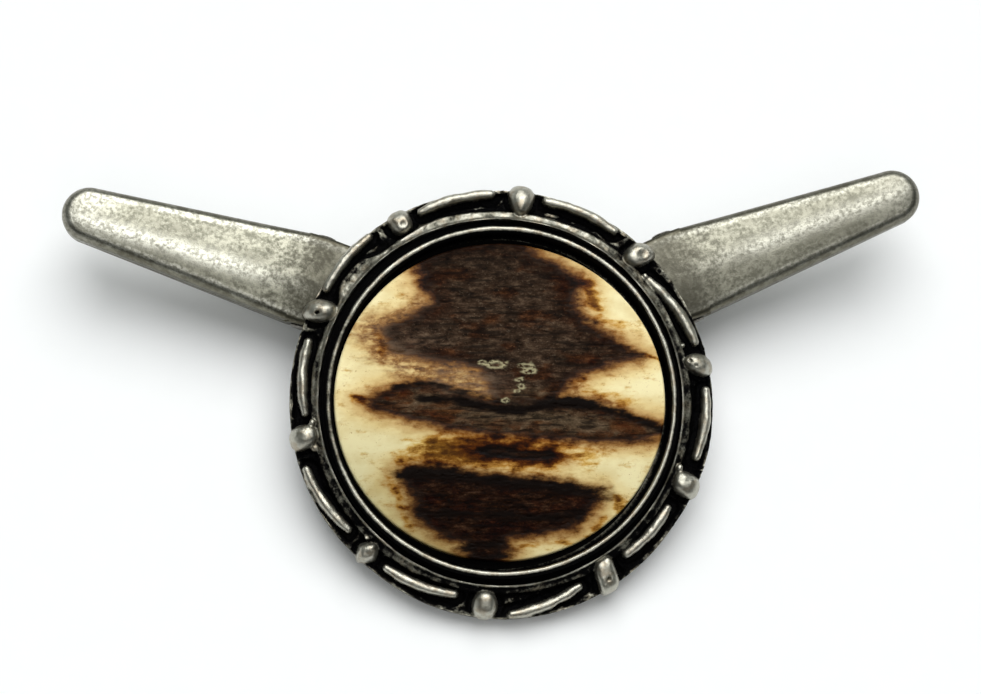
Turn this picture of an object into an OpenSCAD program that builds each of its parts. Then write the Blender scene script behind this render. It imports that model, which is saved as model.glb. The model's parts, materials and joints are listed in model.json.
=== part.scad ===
// Antler medallion with two spring clips, for pinning a neckerchief or tie in place.
// A cast medallion carries a slab of antler in front and two sheet steel clips behind, each
// hung on one rivet. Inside a clip a coil spring on the hinge pin holds the jaws shut.
// The part lies face up on a table, on the bottom of the medallion's rim and on the rolled
// ends of the two levers. Dimensions are in millimetres and degrees.

/* [Medallion] */
// Diameter of the casting
medal_d = 38.2; // [35:0.1:42]
// Thickness of the casting under the antler
floor_t = 1.2; // [1.1:0.05:1.6]
// Height of the border channel's floor above the back face
channel_h = 1.9; // [1.7:0.05:2.3]
// Width of the border channel round the outside
channel_w = 1.9; // [1.6:0.05:2.3]
// Width of the sloping land inside the border channel
land_w = 1.05; // [0.8:0.05:1.4]
// Height of the land's inner edge above the back face
land_h = 3.1; // [2.7:0.05:3.4]
// How much lower the land's outer edge is
land_fall = 0.5; // [0.2:0.05:0.7]
// Width of the groove between the land and the lip
groove_w = 0.45; // [0.3:0.05:0.6]
// Height of the groove's floor above the back face
groove_h = 2.5; // [2.2:0.05:2.6]
// Width of the lip round the antler
lip_w = 0.7; // [0.5:0.05:0.9]
// Height of the lip above the back face
lip_h = 4; // [3.6:0.05:4.6]
// Radius of the rounded edge at the back of the rim
edge_r = 0.6; // [0.3:0.05:0.9]

/* [Border ornament] */
// Number of nuggets round the border, with one twig after each
nugget_count = 10; // [8:1:12]
// Bearing of the first nugget, counted from the right
nugget_bearing = 84; // [70:1:100]
// Diameter of a nugget
nugget_d = 2.4; // [2:0.1:2.8]
// Height of a nugget's centre above the channel floor
nugget_rise = 0.2; // [0:0.05:0.4]
// Diameter of a twig
twig_d = 1; // [0.8:0.05:1.2]
// Length of a twig over its round ends
twig_len = 6.4; // [5:0.1:6.6]
// Height of a twig's centre above the channel floor
twig_rise = 0.3; // [0.1:0.05:0.4]

/* [Antler slab] */
// Gap between the slab and the lip, all round
slab_gap = 0.3; // [0.2:0.05:0.5]
// Gap at the left, where the slab sits closest to the lip
slab_near_gap = 0.1; // [0.05:0.05:0.2]
// Thickness of the slab along its crown
slab_t = 2.45; // [2.2:0.05:3]
// How much lower the slab's face is at its top and bottom edges
slab_fall = 0.9; // [0.5:0.05:1.3]
// Thickness of the adhesive bed under the slab
glue_t = 0.25; // [0.15:0.05:0.4]

/* [Rivets] */
// Distance from the medallion's edge to the centre of each rivet
rivet_inset = 6.8; // [6.2:0.1:7.6]
// Bearing of the rivets, up from the level line
rivet_bearing = 46.3; // [40:0.1:55]
// Diameter of a rivet's shank
rivet_d = 1.6; // [1.3:0.05:1.9]
// Diameter of a rivet's head
head_d = 3; // [2.6:0.1:3.4]
// Thickness of a rivet's head
head_t = 0.4; // [0.3:0.05:0.45]
// Diameter of a rivet's formed end
formed_d = 2.8; // [2.4:0.1:3.2]
// Thickness of a rivet's formed end
formed_t = 0.5; // [0.4:0.05:0.6]

/* [Clips] */
// Angle of the left clip above level
left_angle = 16.5; // [5:0.1:30]
// Angle of the right clip above level
right_angle = 20.4; // [5:0.1:30]
// Distance from the rivet to the hinge pin
hinge_reach = 8.5; // [8:0.1:9.5]
// Length of the jaws from the hinge pin to the tip
jaw_len = 23.4; // [20:0.1:26]
// Width of the jaws at the hinge
jaw_w = 8.2; // [7.8:0.1:9]
// Width of the jaws at their round tips
tip_w = 5; // [4:0.1:6]
// Width of the round end of the upper jaw's tail
tail_w = 6.8; // [6:0.1:7.4]
// Thickness of the sheet steel
sheet_t = 0.6; // [0.5:0.05:0.7]
// Depth of the upper jaw's folded edge
skirt_h = 2.1; // [1.8:0.05:2.3]
// Depth of the closed clip at its tip
tip_depth = 3.1; // [2.9:0.05:3.4]
// How far the lever's rolled end lies past the rivet
lever_past = 2.3; // [1.5:0.1:3]
// Width of the lever
lever_w = 6.2; // [5.4:0.1:6.6]
// How far the lever's end drops below the hinge's floor
lever_drop = 1.3; // [1:0.05:1.8]
// Diameter of the rolled end of the lever
roll_d = 1.3; // [1.2:0.05:1.5]

/* [Hinges and springs] */
// Diameter of the hinge pin
pin_d = 1.2; // [1:0.05:1.4]
// Diameter of the hinge pin's heads
pin_head_d = 1.9; // [1.7:0.05:2.2]
// Thickness of the hinge pin's heads
pin_head_t = 0.25; // [0.2:0.05:0.35]
// Diameter of the ears that the hinge pin goes through
ear_d = 2.6; // [2.4:0.05:2.8]
// Diameter of the spring wire
wire_d = 0.7; // [0.5:0.05:0.75]
// Full turns in the spring's coil
coil_turns = 5; // [3:1:5]
// Length of the spring's legs
leg_len = 6.4; // [5:0.1:6.6]

/* [Clearances] */
// Gap between the medallion's back and a clip
back_gap = 0.1; // [0.05:0.05:0.2]
// Radial gap round a rivet's shank
rivet_fit = 0.05; // [0.03:0.01:0.08]
// Gap round and over a rivet's head in its pocket
head_gap = 0.05; // [0.03:0.01:0.1]
// Radial gap round a hinge pin
pin_fit = 0.05; // [0.03:0.01:0.08]
// Gap between the ears of a clip, and between an ear and a pin head
ear_gap = 0.05; // [0.04:0.01:0.1]
// Gap between an ear and the end of the folded edge beside it
notch_gap = 0.15; // [0.1:0.05:0.25]
// Gap between the two jaws along their closed edges
jaw_gap = 0.05; // [0.03:0.01:0.1]
// Gap between a hinge pin and the coil round it
coil_fit = 0.12; // [0.1:0.01:0.18]
// Gap between the coil and the upper jaw above it
coil_roof_gap = 0.35; // [0.3:0.05:0.5]
// Gap between the coil and the lower jaw under it
coil_floor_gap = 0.25; // [0.2:0.05:0.4]
// Gap between one turn of the coil and the next
turn_gap = 0.05; // [0.03:0.01:0.06]
// Gap between a spring leg and the sheet that it presses on
leg_gap = 0.03; // [0.02:0.01:0.06]

/* [Hidden] */
$fn = 64;

// A cut runs this far past the face that it opens
through = 1;
// Tilt of each twig from the rim's own direction, counted on from the first nugget
twig_tilts = [-2, 13, -1, 0, 10, 5, 5, 3, 3, 1];

// Rings of the medallion, from the rim inwards
medal_r = medal_d / 2;
land_r = medal_r - channel_w;
groove_r = land_r - land_w;
lip_r = groove_r - groove_w;
seat_r = lip_r - lip_w;
border_r = medal_r - channel_w / 2;
nugget_step = 360 / nugget_count;

// Slab: its face is part of a cylinder that lies level, from left to right
slab_r = seat_r - slab_gap;
slab_x = slab_near_gap - slab_gap;
slab_z = floor_t + glue_t;
slab_top = slab_z + slab_t;
face_r = (slab_r * slab_r + slab_fall * slab_fall) / (2 * slab_fall);

// Rivets
rivet_r = medal_r - rivet_inset;
rivet_x = rivet_r * cos(rivet_bearing);
rivet_y = rivet_r * sin(rivet_bearing);
rivet_hole_d = rivet_d + 2 * rivet_fit;
pocket_t = head_t + 2 * head_gap;

// Clip, seen along the hinge pin: heights are below the medallion's back face
coil_r = pin_d / 2 + coil_fit + wire_d / 2;
coil_outer_r = coil_r + wire_d / 2;
roof_z = -back_gap - sheet_t;
pin_z = roof_z - coil_roof_gap - coil_outer_r;
bed_z = pin_z - coil_outer_r - coil_floor_gap;
close_z = -back_gap - skirt_h;
edge_z = close_z - jaw_gap;
tip_z = -back_gap - tip_depth;
ear_r = ear_d / 2;
shoulder_u = ear_r + notch_gap;
lever_len = hinge_reach + lever_past;
lever_slope = atan(lever_drop / (lever_len - ear_r));
roll_r = roll_d / 2;
roll_z = bed_z - lever_drop - roll_r;
roll_v = lever_w / 2 - roll_r;

// Clip, seen from above
jaw_v = jaw_w / 2;
tip_r = tip_w / 2;
tip_u = jaw_len - tip_r;
tail_r = tail_w / 2;
lower_ear_v = jaw_v - sheet_t;
upper_ear_v = lower_ear_v - ear_gap - sheet_t;
pin_head_v = jaw_v + ear_gap;

// The lean at which the rim and the lever's rolled end touch the table together
function end_y(angle) = rivet_y - lever_past * sin(angle) - roll_v * cos(angle);
function lean_for(y) =
    let (rise = edge_r - roll_z, run = y + medal_r - edge_r)
    atan2(rise, run) + asin((roll_r - edge_r) / norm([rise, run]));
lean = max(lean_for(end_y(left_angle)), lean_for(end_y(right_angle)));
rest_z = (medal_r - edge_r) * sin(lean) - edge_r * cos(lean) + edge_r;

// The middle of the part's own outline on the table
function tip_x(angle) = rivet_x + (hinge_reach + tip_u) * cos(angle) + tip_r;
function tip_y(angle) = rivet_y + (hinge_reach + tip_u) * sin(angle) + tip_r;
mid_x = (tip_x(right_angle) - tip_x(left_angle)) / 2;
high_y = max(tip_y(left_angle), tip_y(right_angle)) * cos(lean) - tip_z * sin(lean);
low_y = -(border_r + nugget_d / 2) * cos(lean) - (channel_h + nugget_rise) * sin(lean);
mid_y = (high_y + low_y) / 2;

// ---- Placing ----

// From the medallion's own frame, back face at zero, to the part as it lies on the table
module lay() {
    translate([-mid_x, -mid_y, rest_z])
        rotate([lean, 0, 0])
            children();
}

// From a clip's own frame to the part: u runs from the hinge pin to the tip
module left_clip() {
    lay()
        translate([-rivet_x, rivet_y, 0])
            rotate([0, 0, 180 - left_angle])
                translate([hinge_reach, 0, 0])
                    children();
}

module right_clip() {
    lay()
        translate([rivet_x, rivet_y, 0])
            rotate([0, 0, right_angle])
                translate([hinge_reach, 0, 0])
                    children();
}

// A flat shape drawn in length and height, given a thickness across the clip
module across(width) {
    rotate([90, 0, 0])
        linear_extrude(height = width, center = true)
            children();
}

// A round bar across the clip
module bar_across(diameter, length) {
    rotate([90, 0, 0])
        cylinder(d = diameter, h = length, center = true);
}

// A round bar with round ends, along y
module round_bar(diameter, half_length) {
    bar_across(diameter, 2 * half_length);
    for (side = [-1, 1])
        translate([0, side * half_length, 0])
            sphere(d = diameter);
}

// ---- Medallion ----

// Half section of the casting, without its rivet holes
module bezel_section() {
    difference() {
        union() {
            square([medal_r - edge_r, channel_h]);
            translate([0, edge_r])
                square([medal_r, channel_h - edge_r]);
            translate([medal_r - edge_r, edge_r])
                circle(r = edge_r);
            square([groove_r, groove_h]);
            polygon([[groove_r - groove_w / 2, floor_t], [land_r, floor_t],
                [land_r, land_h - land_fall], [groove_r, land_h], [groove_r, groove_h],
                [groove_r - groove_w / 2, groove_h]]);
            square([lip_r, lip_h - lip_w / 2]);
            translate([lip_r - lip_w / 2, lip_h - lip_w / 2])
                circle(d = lip_w);
        }
        translate([0, floor_t])
            square([seat_r, lip_h]);
    }
}

module border_nuggets() {
    for (k = [0 : nugget_count - 1])
        rotate([0, 0, nugget_bearing - k * nugget_step])
            translate([border_r, 0, channel_h + nugget_rise])
                sphere(d = nugget_d);
}

module border_twigs() {
    for (k = [0 : nugget_count - 1])
        rotate([0, 0, nugget_bearing - (k + 0.5) * nugget_step])
            translate([border_r, 0, channel_h + twig_rise])
                rotate([0, 0, twig_tilts[k % len(twig_tilts)]])
                    round_bar(twig_d, (twig_len - twig_d) / 2);
}

module rivet_holes() {
    for (side = [-1, 1])
        translate([side * rivet_x, rivet_y, 0]) {
            translate([0, 0, -through])
                cylinder(d = rivet_hole_d, h = floor_t + 2 * through);
            translate([0, 0, floor_t - pocket_t])
                cylinder(d = head_d + 2 * head_gap, h = pocket_t + through);
        }
}

module bezel() {
    color([0.5, 0.49, 0.45])
        lay()
            difference() {
                union() {
                    rotate_extrude()
                        bezel_section();
                    border_nuggets();
                    border_twigs();
                }
                rivet_holes();
            }
}

module antler_slab() {
    color([0.86, 0.8, 0.62])
        lay()
            intersection() {
                translate([slab_x, 0, slab_z])
                    cylinder(r = slab_r, h = slab_t);
                translate([0, 0, slab_top - face_r])
                    rotate([0, 90, 0])
                        cylinder(r = face_r, h = 2 * medal_d, center = true, $fn = 720);
            }
}

module adhesive_bed() {
    color([0.75, 0.7, 0.5])
        lay()
            translate([slab_x, 0, floor_t])
                cylinder(r = slab_r, h = glue_t);
}

// A rivet: head in its pocket, shank through casting and clip, formed end under the clip
module rivet() {
    translate([0, 0, floor_t - pocket_t + head_gap])
        cylinder(d = head_d, h = head_t);
    translate([0, 0, roof_z - back_gap])
        cylinder(d = rivet_d, h = floor_t - pocket_t + head_gap - roof_z + back_gap);
    translate([0, 0, roof_z - back_gap - formed_t])
        cylinder(d = formed_d, h = formed_t);
}

module rivet_left() {
    color([0.62, 0.6, 0.55])
        lay()
            translate([-rivet_x, rivet_y, 0])
                rivet();
}

module rivet_right() {
    color([0.62, 0.6, 0.55])
        lay()
            translate([rivet_x, rivet_y, 0])
                rivet();
}

// ---- Clip ----

// Outline of a jaw from above, with its sides moved in by an inset, and closed at u = back
module jaw_outline(back, inset) {
    v = jaw_v - inset;
    r = tip_r - inset;
    polygon([[back, -v], [shoulder_u, -v], [tip_u, -r], [tip_u, r], [shoulder_u, v], [back, v]]);
    translate([tip_u, 0])
        circle(r = r);
}

// Outline of the upper jaw from above, from its tail round the rivet to its tip
module upper_outline() {
    polygon([[-hinge_reach, -tail_r], [0, -jaw_v], [shoulder_u, -jaw_v], [tip_u, -tip_r],
        [tip_u, tip_r], [shoulder_u, jaw_v], [0, jaw_v], [-hinge_reach, tail_r]]);
    translate([tip_u, 0])
        circle(r = tip_r);
    translate([-hinge_reach, 0])
        circle(r = tail_r);
}

// Side view of an ear, from its round end at the pin to the height of the sheet it grows from
module ear_side(root_z) {
    translate([0, pin_z])
        circle(r = ear_r);
    translate([-ear_r, min(root_z, pin_z)])
        square([2 * ear_r, abs(root_z - pin_z)]);
}

module upper_jaw() {
    difference() {
        union() {
            difference() {
                translate([0, 0, close_z])
                    linear_extrude(height = skirt_h)
                        upper_outline();
                translate([0, 0, close_z - through])
                    linear_extrude(height = roof_z - close_z + through) {
                        jaw_outline(0, sheet_t);
                        translate([-2 * hinge_reach, -jaw_w])
                            square([2 * hinge_reach + shoulder_u, 2 * jaw_w]);
                    }
            }
            for (side = [-1, 1])
                translate([0, side * (upper_ear_v + sheet_t / 2), 0])
                    across(sheet_t)
                        ear_side(roof_z + sheet_t / 2);
        }
        translate([0, 0, pin_z])
            bar_across(pin_d + 2 * pin_fit, jaw_w + 2 * through);
        translate([-hinge_reach, 0, roof_z - through])
            cylinder(d = rivet_hole_d, h = sheet_t + 2 * through);
    }
}

// Side view of everything below the closed edges: ears, walls and bottom of the lower jaw
module lower_side() {
    polygon([[-ear_r, bed_z - sheet_t], [ear_r, bed_z - sheet_t], [jaw_len, tip_z],
        [jaw_len + through, tip_z], [jaw_len + through, edge_z], [ear_r, edge_z],
        [ear_r, pin_z], [-ear_r, pin_z]]);
    translate([0, pin_z])
        circle(r = ear_r);
}

// Side view of the room inside the lower jaw, open at its top and back
module lower_room_side() {
    polygon([[-ear_r - through, bed_z], [ear_r, bed_z], [jaw_len, tip_z + sheet_t],
        [jaw_len + through, tip_z + sheet_t], [jaw_len + through, 0], [-ear_r - through, 0]]);
}

module lower_jaw() {
    difference() {
        union() {
            difference() {
                intersection() {
                    translate([0, 0, bed_z - 2 * sheet_t])
                        linear_extrude(height = -bed_z + 2 * sheet_t)
                            jaw_outline(-ear_r, 0);
                    across(2 * jaw_w)
                        lower_side();
                }
                intersection() {
                    translate([0, 0, bed_z - sheet_t])
                        linear_extrude(height = -bed_z + 2 * sheet_t)
                            jaw_outline(-ear_r - 2 * through, sheet_t);
                    across(2 * jaw_w)
                        lower_room_side();
                }
            }
            across(lever_w)
                polygon([[0, bed_z], [-ear_r, bed_z], [-lever_len, bed_z - lever_drop],
                    [-lever_len, bed_z - lever_drop - sheet_t], [-ear_r, bed_z - sheet_t],
                    [0, bed_z - sheet_t]]);
            translate([-lever_len, 0, roll_z])
                round_bar(roll_d, roll_v);
        }
        translate([0, 0, pin_z])
            bar_across(pin_d + 2 * pin_fit, jaw_w + 2 * through);
    }
}

module hinge_pin() {
    translate([0, 0, pin_z]) {
        bar_across(pin_d, 2 * pin_head_v);
        for (side = [-1, 1])
            translate([0, side * (pin_head_v + pin_head_t / 2), 0])
                bar_across(pin_head_d, pin_head_t);
    }
}

// ---- Spring ----

wire_sides = 8;
turn_steps = 18;

// Slope at which a straight leg leaves the coil to reach a height h above the pin at its end
function leg_slope(h) = asin(h / norm([coil_r, leg_len])) - atan2(coil_r, leg_len);
top_slope = leg_slope(coil_r + coil_roof_gap - leg_gap);
low_slope = lever_slope + leg_slope((pin_z - bed_z) * cos(lever_slope)
    - ear_r * sin(lever_slope) - wire_d / 2 - leg_gap);

// The coil turns from the top leg's bearing to the low leg's, counted from straight up
coil_sweep = 180 - low_slope - top_slope + 360 * coil_turns;
coil_steps = ceil(turn_steps * coil_sweep / 360);
coil_pitch = wire_d + turn_gap;
coil_half = coil_pitch * coil_sweep / 360 / 2;

function spoke(bearing) = [sin(bearing), 0, cos(bearing)];
function along(bearing) = [cos(bearing), 0, -sin(bearing)];
function coil_v(share) = [0, coil_half * (1 - 2 * share), 0];

// Each place along the wire is [centre, bearing of its spoke]
spring_places = concat(
    [[coil_r * spoke(top_slope) - leg_len * along(top_slope) + coil_v(0), top_slope]],
    [for (i = [0 : coil_steps])
        let (share = i / coil_steps, bearing = top_slope + coil_sweep * share)
        [coil_r * spoke(bearing) + coil_v(share), bearing]],
    [[coil_r * spoke(180 - low_slope) + leg_len * along(180 - low_slope) + coil_v(1),
        180 - low_slope]]);

// Points of the ring round the wire at one place
function wire_ring(place) = [for (k = [0 : wire_sides - 1])
    let (turn = 360 * k / wire_sides)
    place[0] + wire_d / 2 * (cos(turn) * spoke(place[1]) + sin(turn) * [0, 1, 0])];

module torsion_spring() {
    last = len(spring_places) - 1;
    points = [for (place = spring_places) each wire_ring(place)];
    sides = [for (i = [0 : last - 1], k = [0 : wire_sides - 1])
        let (a = i * wire_sides + k, b = i * wire_sides + (k + 1) % wire_sides)
        [a, b, b + wire_sides, a + wire_sides]];
    start = [for (k = [0 : wire_sides - 1]) wire_sides - 1 - k];
    end = [for (k = [0 : wire_sides - 1]) last * wire_sides + k];
    translate([0, 0, pin_z])
        polyhedron(points = points, faces = concat([start], sides, [end]));
}

// ---- Nodes of the two clips ----

module upper_jaw_left() {
    color([0.55, 0.54, 0.5])
        left_clip()
            upper_jaw();
}

module upper_jaw_right() {
    color([0.55, 0.54, 0.5])
        right_clip()
            upper_jaw();
}

module lower_jaw_left() {
    color([0.45, 0.44, 0.41])
        left_clip()
            lower_jaw();
}

module lower_jaw_right() {
    color([0.45, 0.44, 0.41])
        right_clip()
            lower_jaw();
}

module hinge_pin_left() {
    color([0.7, 0.69, 0.66])
        left_clip()
            hinge_pin();
}

module hinge_pin_right() {
    color([0.7, 0.69, 0.66])
        right_clip()
            hinge_pin();
}

module torsion_spring_left() {
    color([0.35, 0.35, 0.36])
        left_clip()
            torsion_spring();
}

module torsion_spring_right() {
    color([0.35, 0.35, 0.36])
        right_clip()
            torsion_spring();
}

bezel();
antler_slab();
adhesive_bed();
rivet_left();
rivet_right();
upper_jaw_left();
lower_jaw_left();
hinge_pin_left();
torsion_spring_left();
upper_jaw_right();
lower_jaw_right();
hinge_pin_right();
torsion_spring_right();
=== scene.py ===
"""Looks of a cast medallion with an antler slab and two sprung clips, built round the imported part."""
import json
from itertools import product
from math import atan, ceil, cos, pi, radians, sin

import bmesh
import bpy
import numpy as np
from mathutils import Matrix, Vector


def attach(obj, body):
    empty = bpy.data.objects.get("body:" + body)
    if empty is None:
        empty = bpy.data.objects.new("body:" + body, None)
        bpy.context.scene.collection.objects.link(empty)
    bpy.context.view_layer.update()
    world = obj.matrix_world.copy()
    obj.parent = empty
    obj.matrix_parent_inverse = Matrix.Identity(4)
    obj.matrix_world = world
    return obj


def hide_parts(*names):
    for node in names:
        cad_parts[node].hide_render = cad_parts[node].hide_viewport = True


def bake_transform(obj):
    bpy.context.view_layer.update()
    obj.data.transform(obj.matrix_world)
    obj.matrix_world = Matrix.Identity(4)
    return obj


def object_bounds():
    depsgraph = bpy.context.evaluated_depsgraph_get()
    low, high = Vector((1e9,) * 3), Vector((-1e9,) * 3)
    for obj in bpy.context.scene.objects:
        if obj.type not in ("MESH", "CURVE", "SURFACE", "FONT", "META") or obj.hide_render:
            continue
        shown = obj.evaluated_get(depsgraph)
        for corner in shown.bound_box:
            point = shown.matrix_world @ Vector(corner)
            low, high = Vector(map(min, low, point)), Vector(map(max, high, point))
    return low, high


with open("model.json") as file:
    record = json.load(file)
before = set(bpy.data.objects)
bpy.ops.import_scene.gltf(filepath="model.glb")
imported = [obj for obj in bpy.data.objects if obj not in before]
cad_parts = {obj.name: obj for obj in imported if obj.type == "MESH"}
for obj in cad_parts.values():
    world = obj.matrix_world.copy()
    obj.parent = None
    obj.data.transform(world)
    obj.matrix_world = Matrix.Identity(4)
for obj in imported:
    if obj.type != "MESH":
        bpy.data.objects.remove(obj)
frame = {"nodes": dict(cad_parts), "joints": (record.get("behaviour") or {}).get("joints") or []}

CAD_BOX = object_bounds()
MM = 0.001
SAME_POINT = 1e-6
SHARP_ANGLE = radians(50)

# ---------------------------------------------------------------- places

JOINT = {j["name"]: j for j in frame["joints"]}
SIDES = ("left", "right")

# The medallion's own axes: x to the right, y up, z out of its face
FACE = Vector(JOINT["swivel_left"]["axis"]).normalized()
ACROSS = Vector((1, 0, 0))
UPWARD = FACE.cross(ACROSS).normalized()

# Each rivet's distance from the medallion's axis, and its bearing above the line across it
RIVET_RING_R = 12.3
RIVET_BEARING = radians(46.3)


def placement(origin, x_axis, y_axis, z_axis):
    """Matrix from millimetres along three axes to metres in the row frame."""
    columns = [axis * MM for axis in (x_axis, y_axis, z_axis)]
    matrix = Matrix.Identity(4)
    for k, column in enumerate(columns + [origin]):
        for row in range(3):
            matrix[row][k] = column[row]
    return matrix


def medallion_place():
    rivets = [Vector(JOINT["swivel_" + side]["pos_m"]) for side in SIDES]
    middle = (rivets[0] + rivets[1]) / 2
    centre = middle - RIVET_RING_R * sin(RIVET_BEARING) * MM * UPWARD
    return placement(centre, ACROSS, UPWARD, FACE)


def clip_place(side):
    """A clip's axes: x from hinge to tip, z out of the medallion's face; the origin lies over
    the hinge pin, level with the medallion's back."""
    rivet = Vector(JOINT["swivel_" + side]["pos_m"])
    pin = Vector(JOINT["open_" + side]["pos_m"])
    origin = pin - (pin - rivet).dot(FACE) * FACE
    along = (origin - rivet).normalized()
    return placement(origin, along, FACE.cross(along), FACE)


PLACE = {"medallion": medallion_place()}
PLACE.update({side: clip_place(side) for side in SIDES})


def rivet_place(side):
    return placement(Vector(JOINT["swivel_" + side]["pos_m"]), ACROSS, UPWARD, FACE)


# How far the hinge pin lies from its rivet, out of the face and along the clip, in millimetres
PIN_FROM_RIVET = Vector(JOINT["open_left"]["pos_m"]) - Vector(JOINT["swivel_left"]["pos_m"])
PIN_Z = PIN_FROM_RIVET.dot(FACE) / MM
HINGE_REACH = (PIN_FROM_RIVET - PIN_Z * MM * FACE).length / MM

# ---------------------------------------------------------------- numpy helpers


def smoothstep(low, high, value):
    t = np.clip((value - low) / (high - low), 0, 1)
    return t * t * (3 - 2 * t)


def smooth_min(a, b, width):
    """Union of two distance fields with a fillet of about this width."""
    h = np.clip(0.5 + 0.5 * (b - a) / width, 0, 1)
    return b + (a - b) * h - width * h * (1 - h)


def polar(r, turn, z=0.0):
    """Points at these radii, angles and heights."""
    return np.stack(np.broadcast_arrays(r * np.cos(turn), r * np.sin(turn), z), -1)


def lattice_noise(points, cell, seed):
    """Smooth noise from -1 to 1 at points (..., 3), with bumps about one cell across."""
    q = points / np.asarray(cell, float) + 31.7 * seed
    base = np.floor(q).astype(np.int64)
    f = q - base
    f = f * f * (3 - 2 * f)
    total = np.zeros(points.shape[:-1])
    for corner in product((0, 1), repeat=3):
        i = base + np.array(corner)
        h = (i[..., 0] * 374761393 + i[..., 1] * 668265263 + i[..., 2] * 1440662683) & 0xFFFFFFFF
        h = ((h ^ (h >> 13)) * 1274126177) & 0xFFFFFFFF
        value = ((h ^ (h >> 16)) & 0xFFFF) / 32767.5 - 1
        weight = np.where(np.array(corner) == 1, f, 1 - f).prod(-1)
        total += weight * value
    return total


def layered_noise(points, cell, seed, layers=3):
    """Lattice noise with finer layers at half the strength each."""
    total = sum(lattice_noise(points, np.asarray(cell) / 2**k, seed + k) / 2**k for k in range(layers))
    return total / (2 - 2 ** (1 - layers))


def grid_faces(rows, columns, wrap_columns=True):
    """Quads of a grid of rows x columns vertices."""
    i = np.arange(rows - 1)[:, None]
    j = np.arange(columns if wrap_columns else columns - 1)[None, :]
    j_next = (j + 1) % columns
    corners = [i * columns + j, i * columns + j_next, (i + 1) * columns + j_next, (i + 1) * columns + j]
    return np.stack([np.broadcast_to(c, (i.size, j.size)) for c in corners], -1).reshape(-1, 4)


def unit(vectors):
    return vectors / np.maximum(np.linalg.norm(vectors, axis=-1, keepdims=True), 1e-9)


def slope_along(grid, axis, wrap):
    if not wrap:
        return np.gradient(grid, axis=axis)
    return (np.roll(grid, -1, axis) - np.roll(grid, 1, axis)) / 2


def grid_normals(grid, wrap_columns=True):
    return unit(np.cross(slope_along(grid, 1, wrap_columns), slope_along(grid, 0, False)))


def box_blur(grid, reach, axis, wrap):
    """Mean over reach cells to either side."""
    pad = [(0, 0)] * grid.ndim
    pad[axis] = (reach + 1, reach)
    total = np.cumsum(np.pad(grid, pad, mode="wrap" if wrap else "edge"), axis=axis)
    size = grid.shape[axis]
    upper = np.take(total, np.arange(size) + 2 * reach + 1, axis=axis)
    lower = np.take(total, np.arange(size), axis=axis)
    return (upper - lower) / (2 * reach + 1)


def hollowness(grid, normals, reach):
    """How far each point lies below its surroundings, in millimetres: positive in a recess."""
    blurred = grid
    for _ in range(2):
        blurred = box_blur(blurred, reach, 0, False)
        blurred = box_blur(blurred, reach, 1, True)
    return ((blurred - grid) * normals).sum(-1)


# ---------------------------------------------------------------- meshes


def joined(*parts):
    """One set of points, faces and values from several."""
    points, faces, values, count = [], [], {}, 0
    for part_points, part_faces, part_values in parts:
        shape = part_points.shape[:-1]
        points.append(part_points.reshape(-1, 3))
        faces.append(part_faces + count)
        for key, value in part_values.items():
            values.setdefault(key, []).append(np.broadcast_to(value, shape).reshape(-1))
        count += len(points[-1])
    values = {key: np.concatenate(value) for key, value in values.items()}
    return np.concatenate(points), np.concatenate(faces), values


def new_object(name, data):
    thing = bpy.data.objects.new(name, data)
    bpy.context.scene.collection.objects.link(thing)
    return thing


def piece(name, shape, place, body, slot, material, *nodes):
    """A named piece on a body, from points in millimetres and the values its material reads."""
    points, faces, values = shape
    points = points.reshape(-1, 3)
    matrix = np.array(place)
    mesh = bpy.data.meshes.new(name)
    mesh.vertices.add(len(points))
    mesh.vertices.foreach_set("co", (points @ matrix[:3, :3].T + matrix[:3, 3]).astype(np.float32).ravel())
    mesh.loops.add(faces.size)
    mesh.loops.foreach_set("vertex_index", faces.astype(np.int32).ravel())
    mesh.polygons.add(len(faces))
    mesh.polygons.foreach_set("loop_start", (np.arange(len(faces)) * 4).astype(np.int32))
    mesh.update(calc_edges=True)
    spot = mesh.attributes.new("mm", "FLOAT_VECTOR", "POINT")
    spot.data.foreach_set("vector", points.astype(np.float32).ravel())
    for key, value in values.items():
        layer = mesh.attributes.new(key, "FLOAT", "POINT")
        layer.data.foreach_set("value", value.astype(np.float32).ravel())
    bm = bmesh.new()
    bm.from_mesh(mesh)
    bmesh.ops.remove_doubles(bm, verts=bm.verts, dist=SAME_POINT)
    bmesh.ops.recalc_face_normals(bm, faces=bm.faces)
    bm.to_mesh(mesh)
    bm.free()
    mesh.shade_smooth()
    mesh.set_sharp_from_angle(angle=SHARP_ANGLE)
    mesh.materials.append(material)
    thing = new_object(name, mesh)
    if body:
        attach(thing, body)
    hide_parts(*nodes)
    return thing


def lathe(profile, sides=48):
    """A turned shape round z from (r, z) pairs; it is closed where r is 0."""
    r, z = np.array(profile, float).T[..., None]
    return polar(r, 2 * pi * np.arange(sides) / sides, z), grid_faces(len(r), sides), {}


# ---------------------------------------------------------------- material nodes


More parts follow.
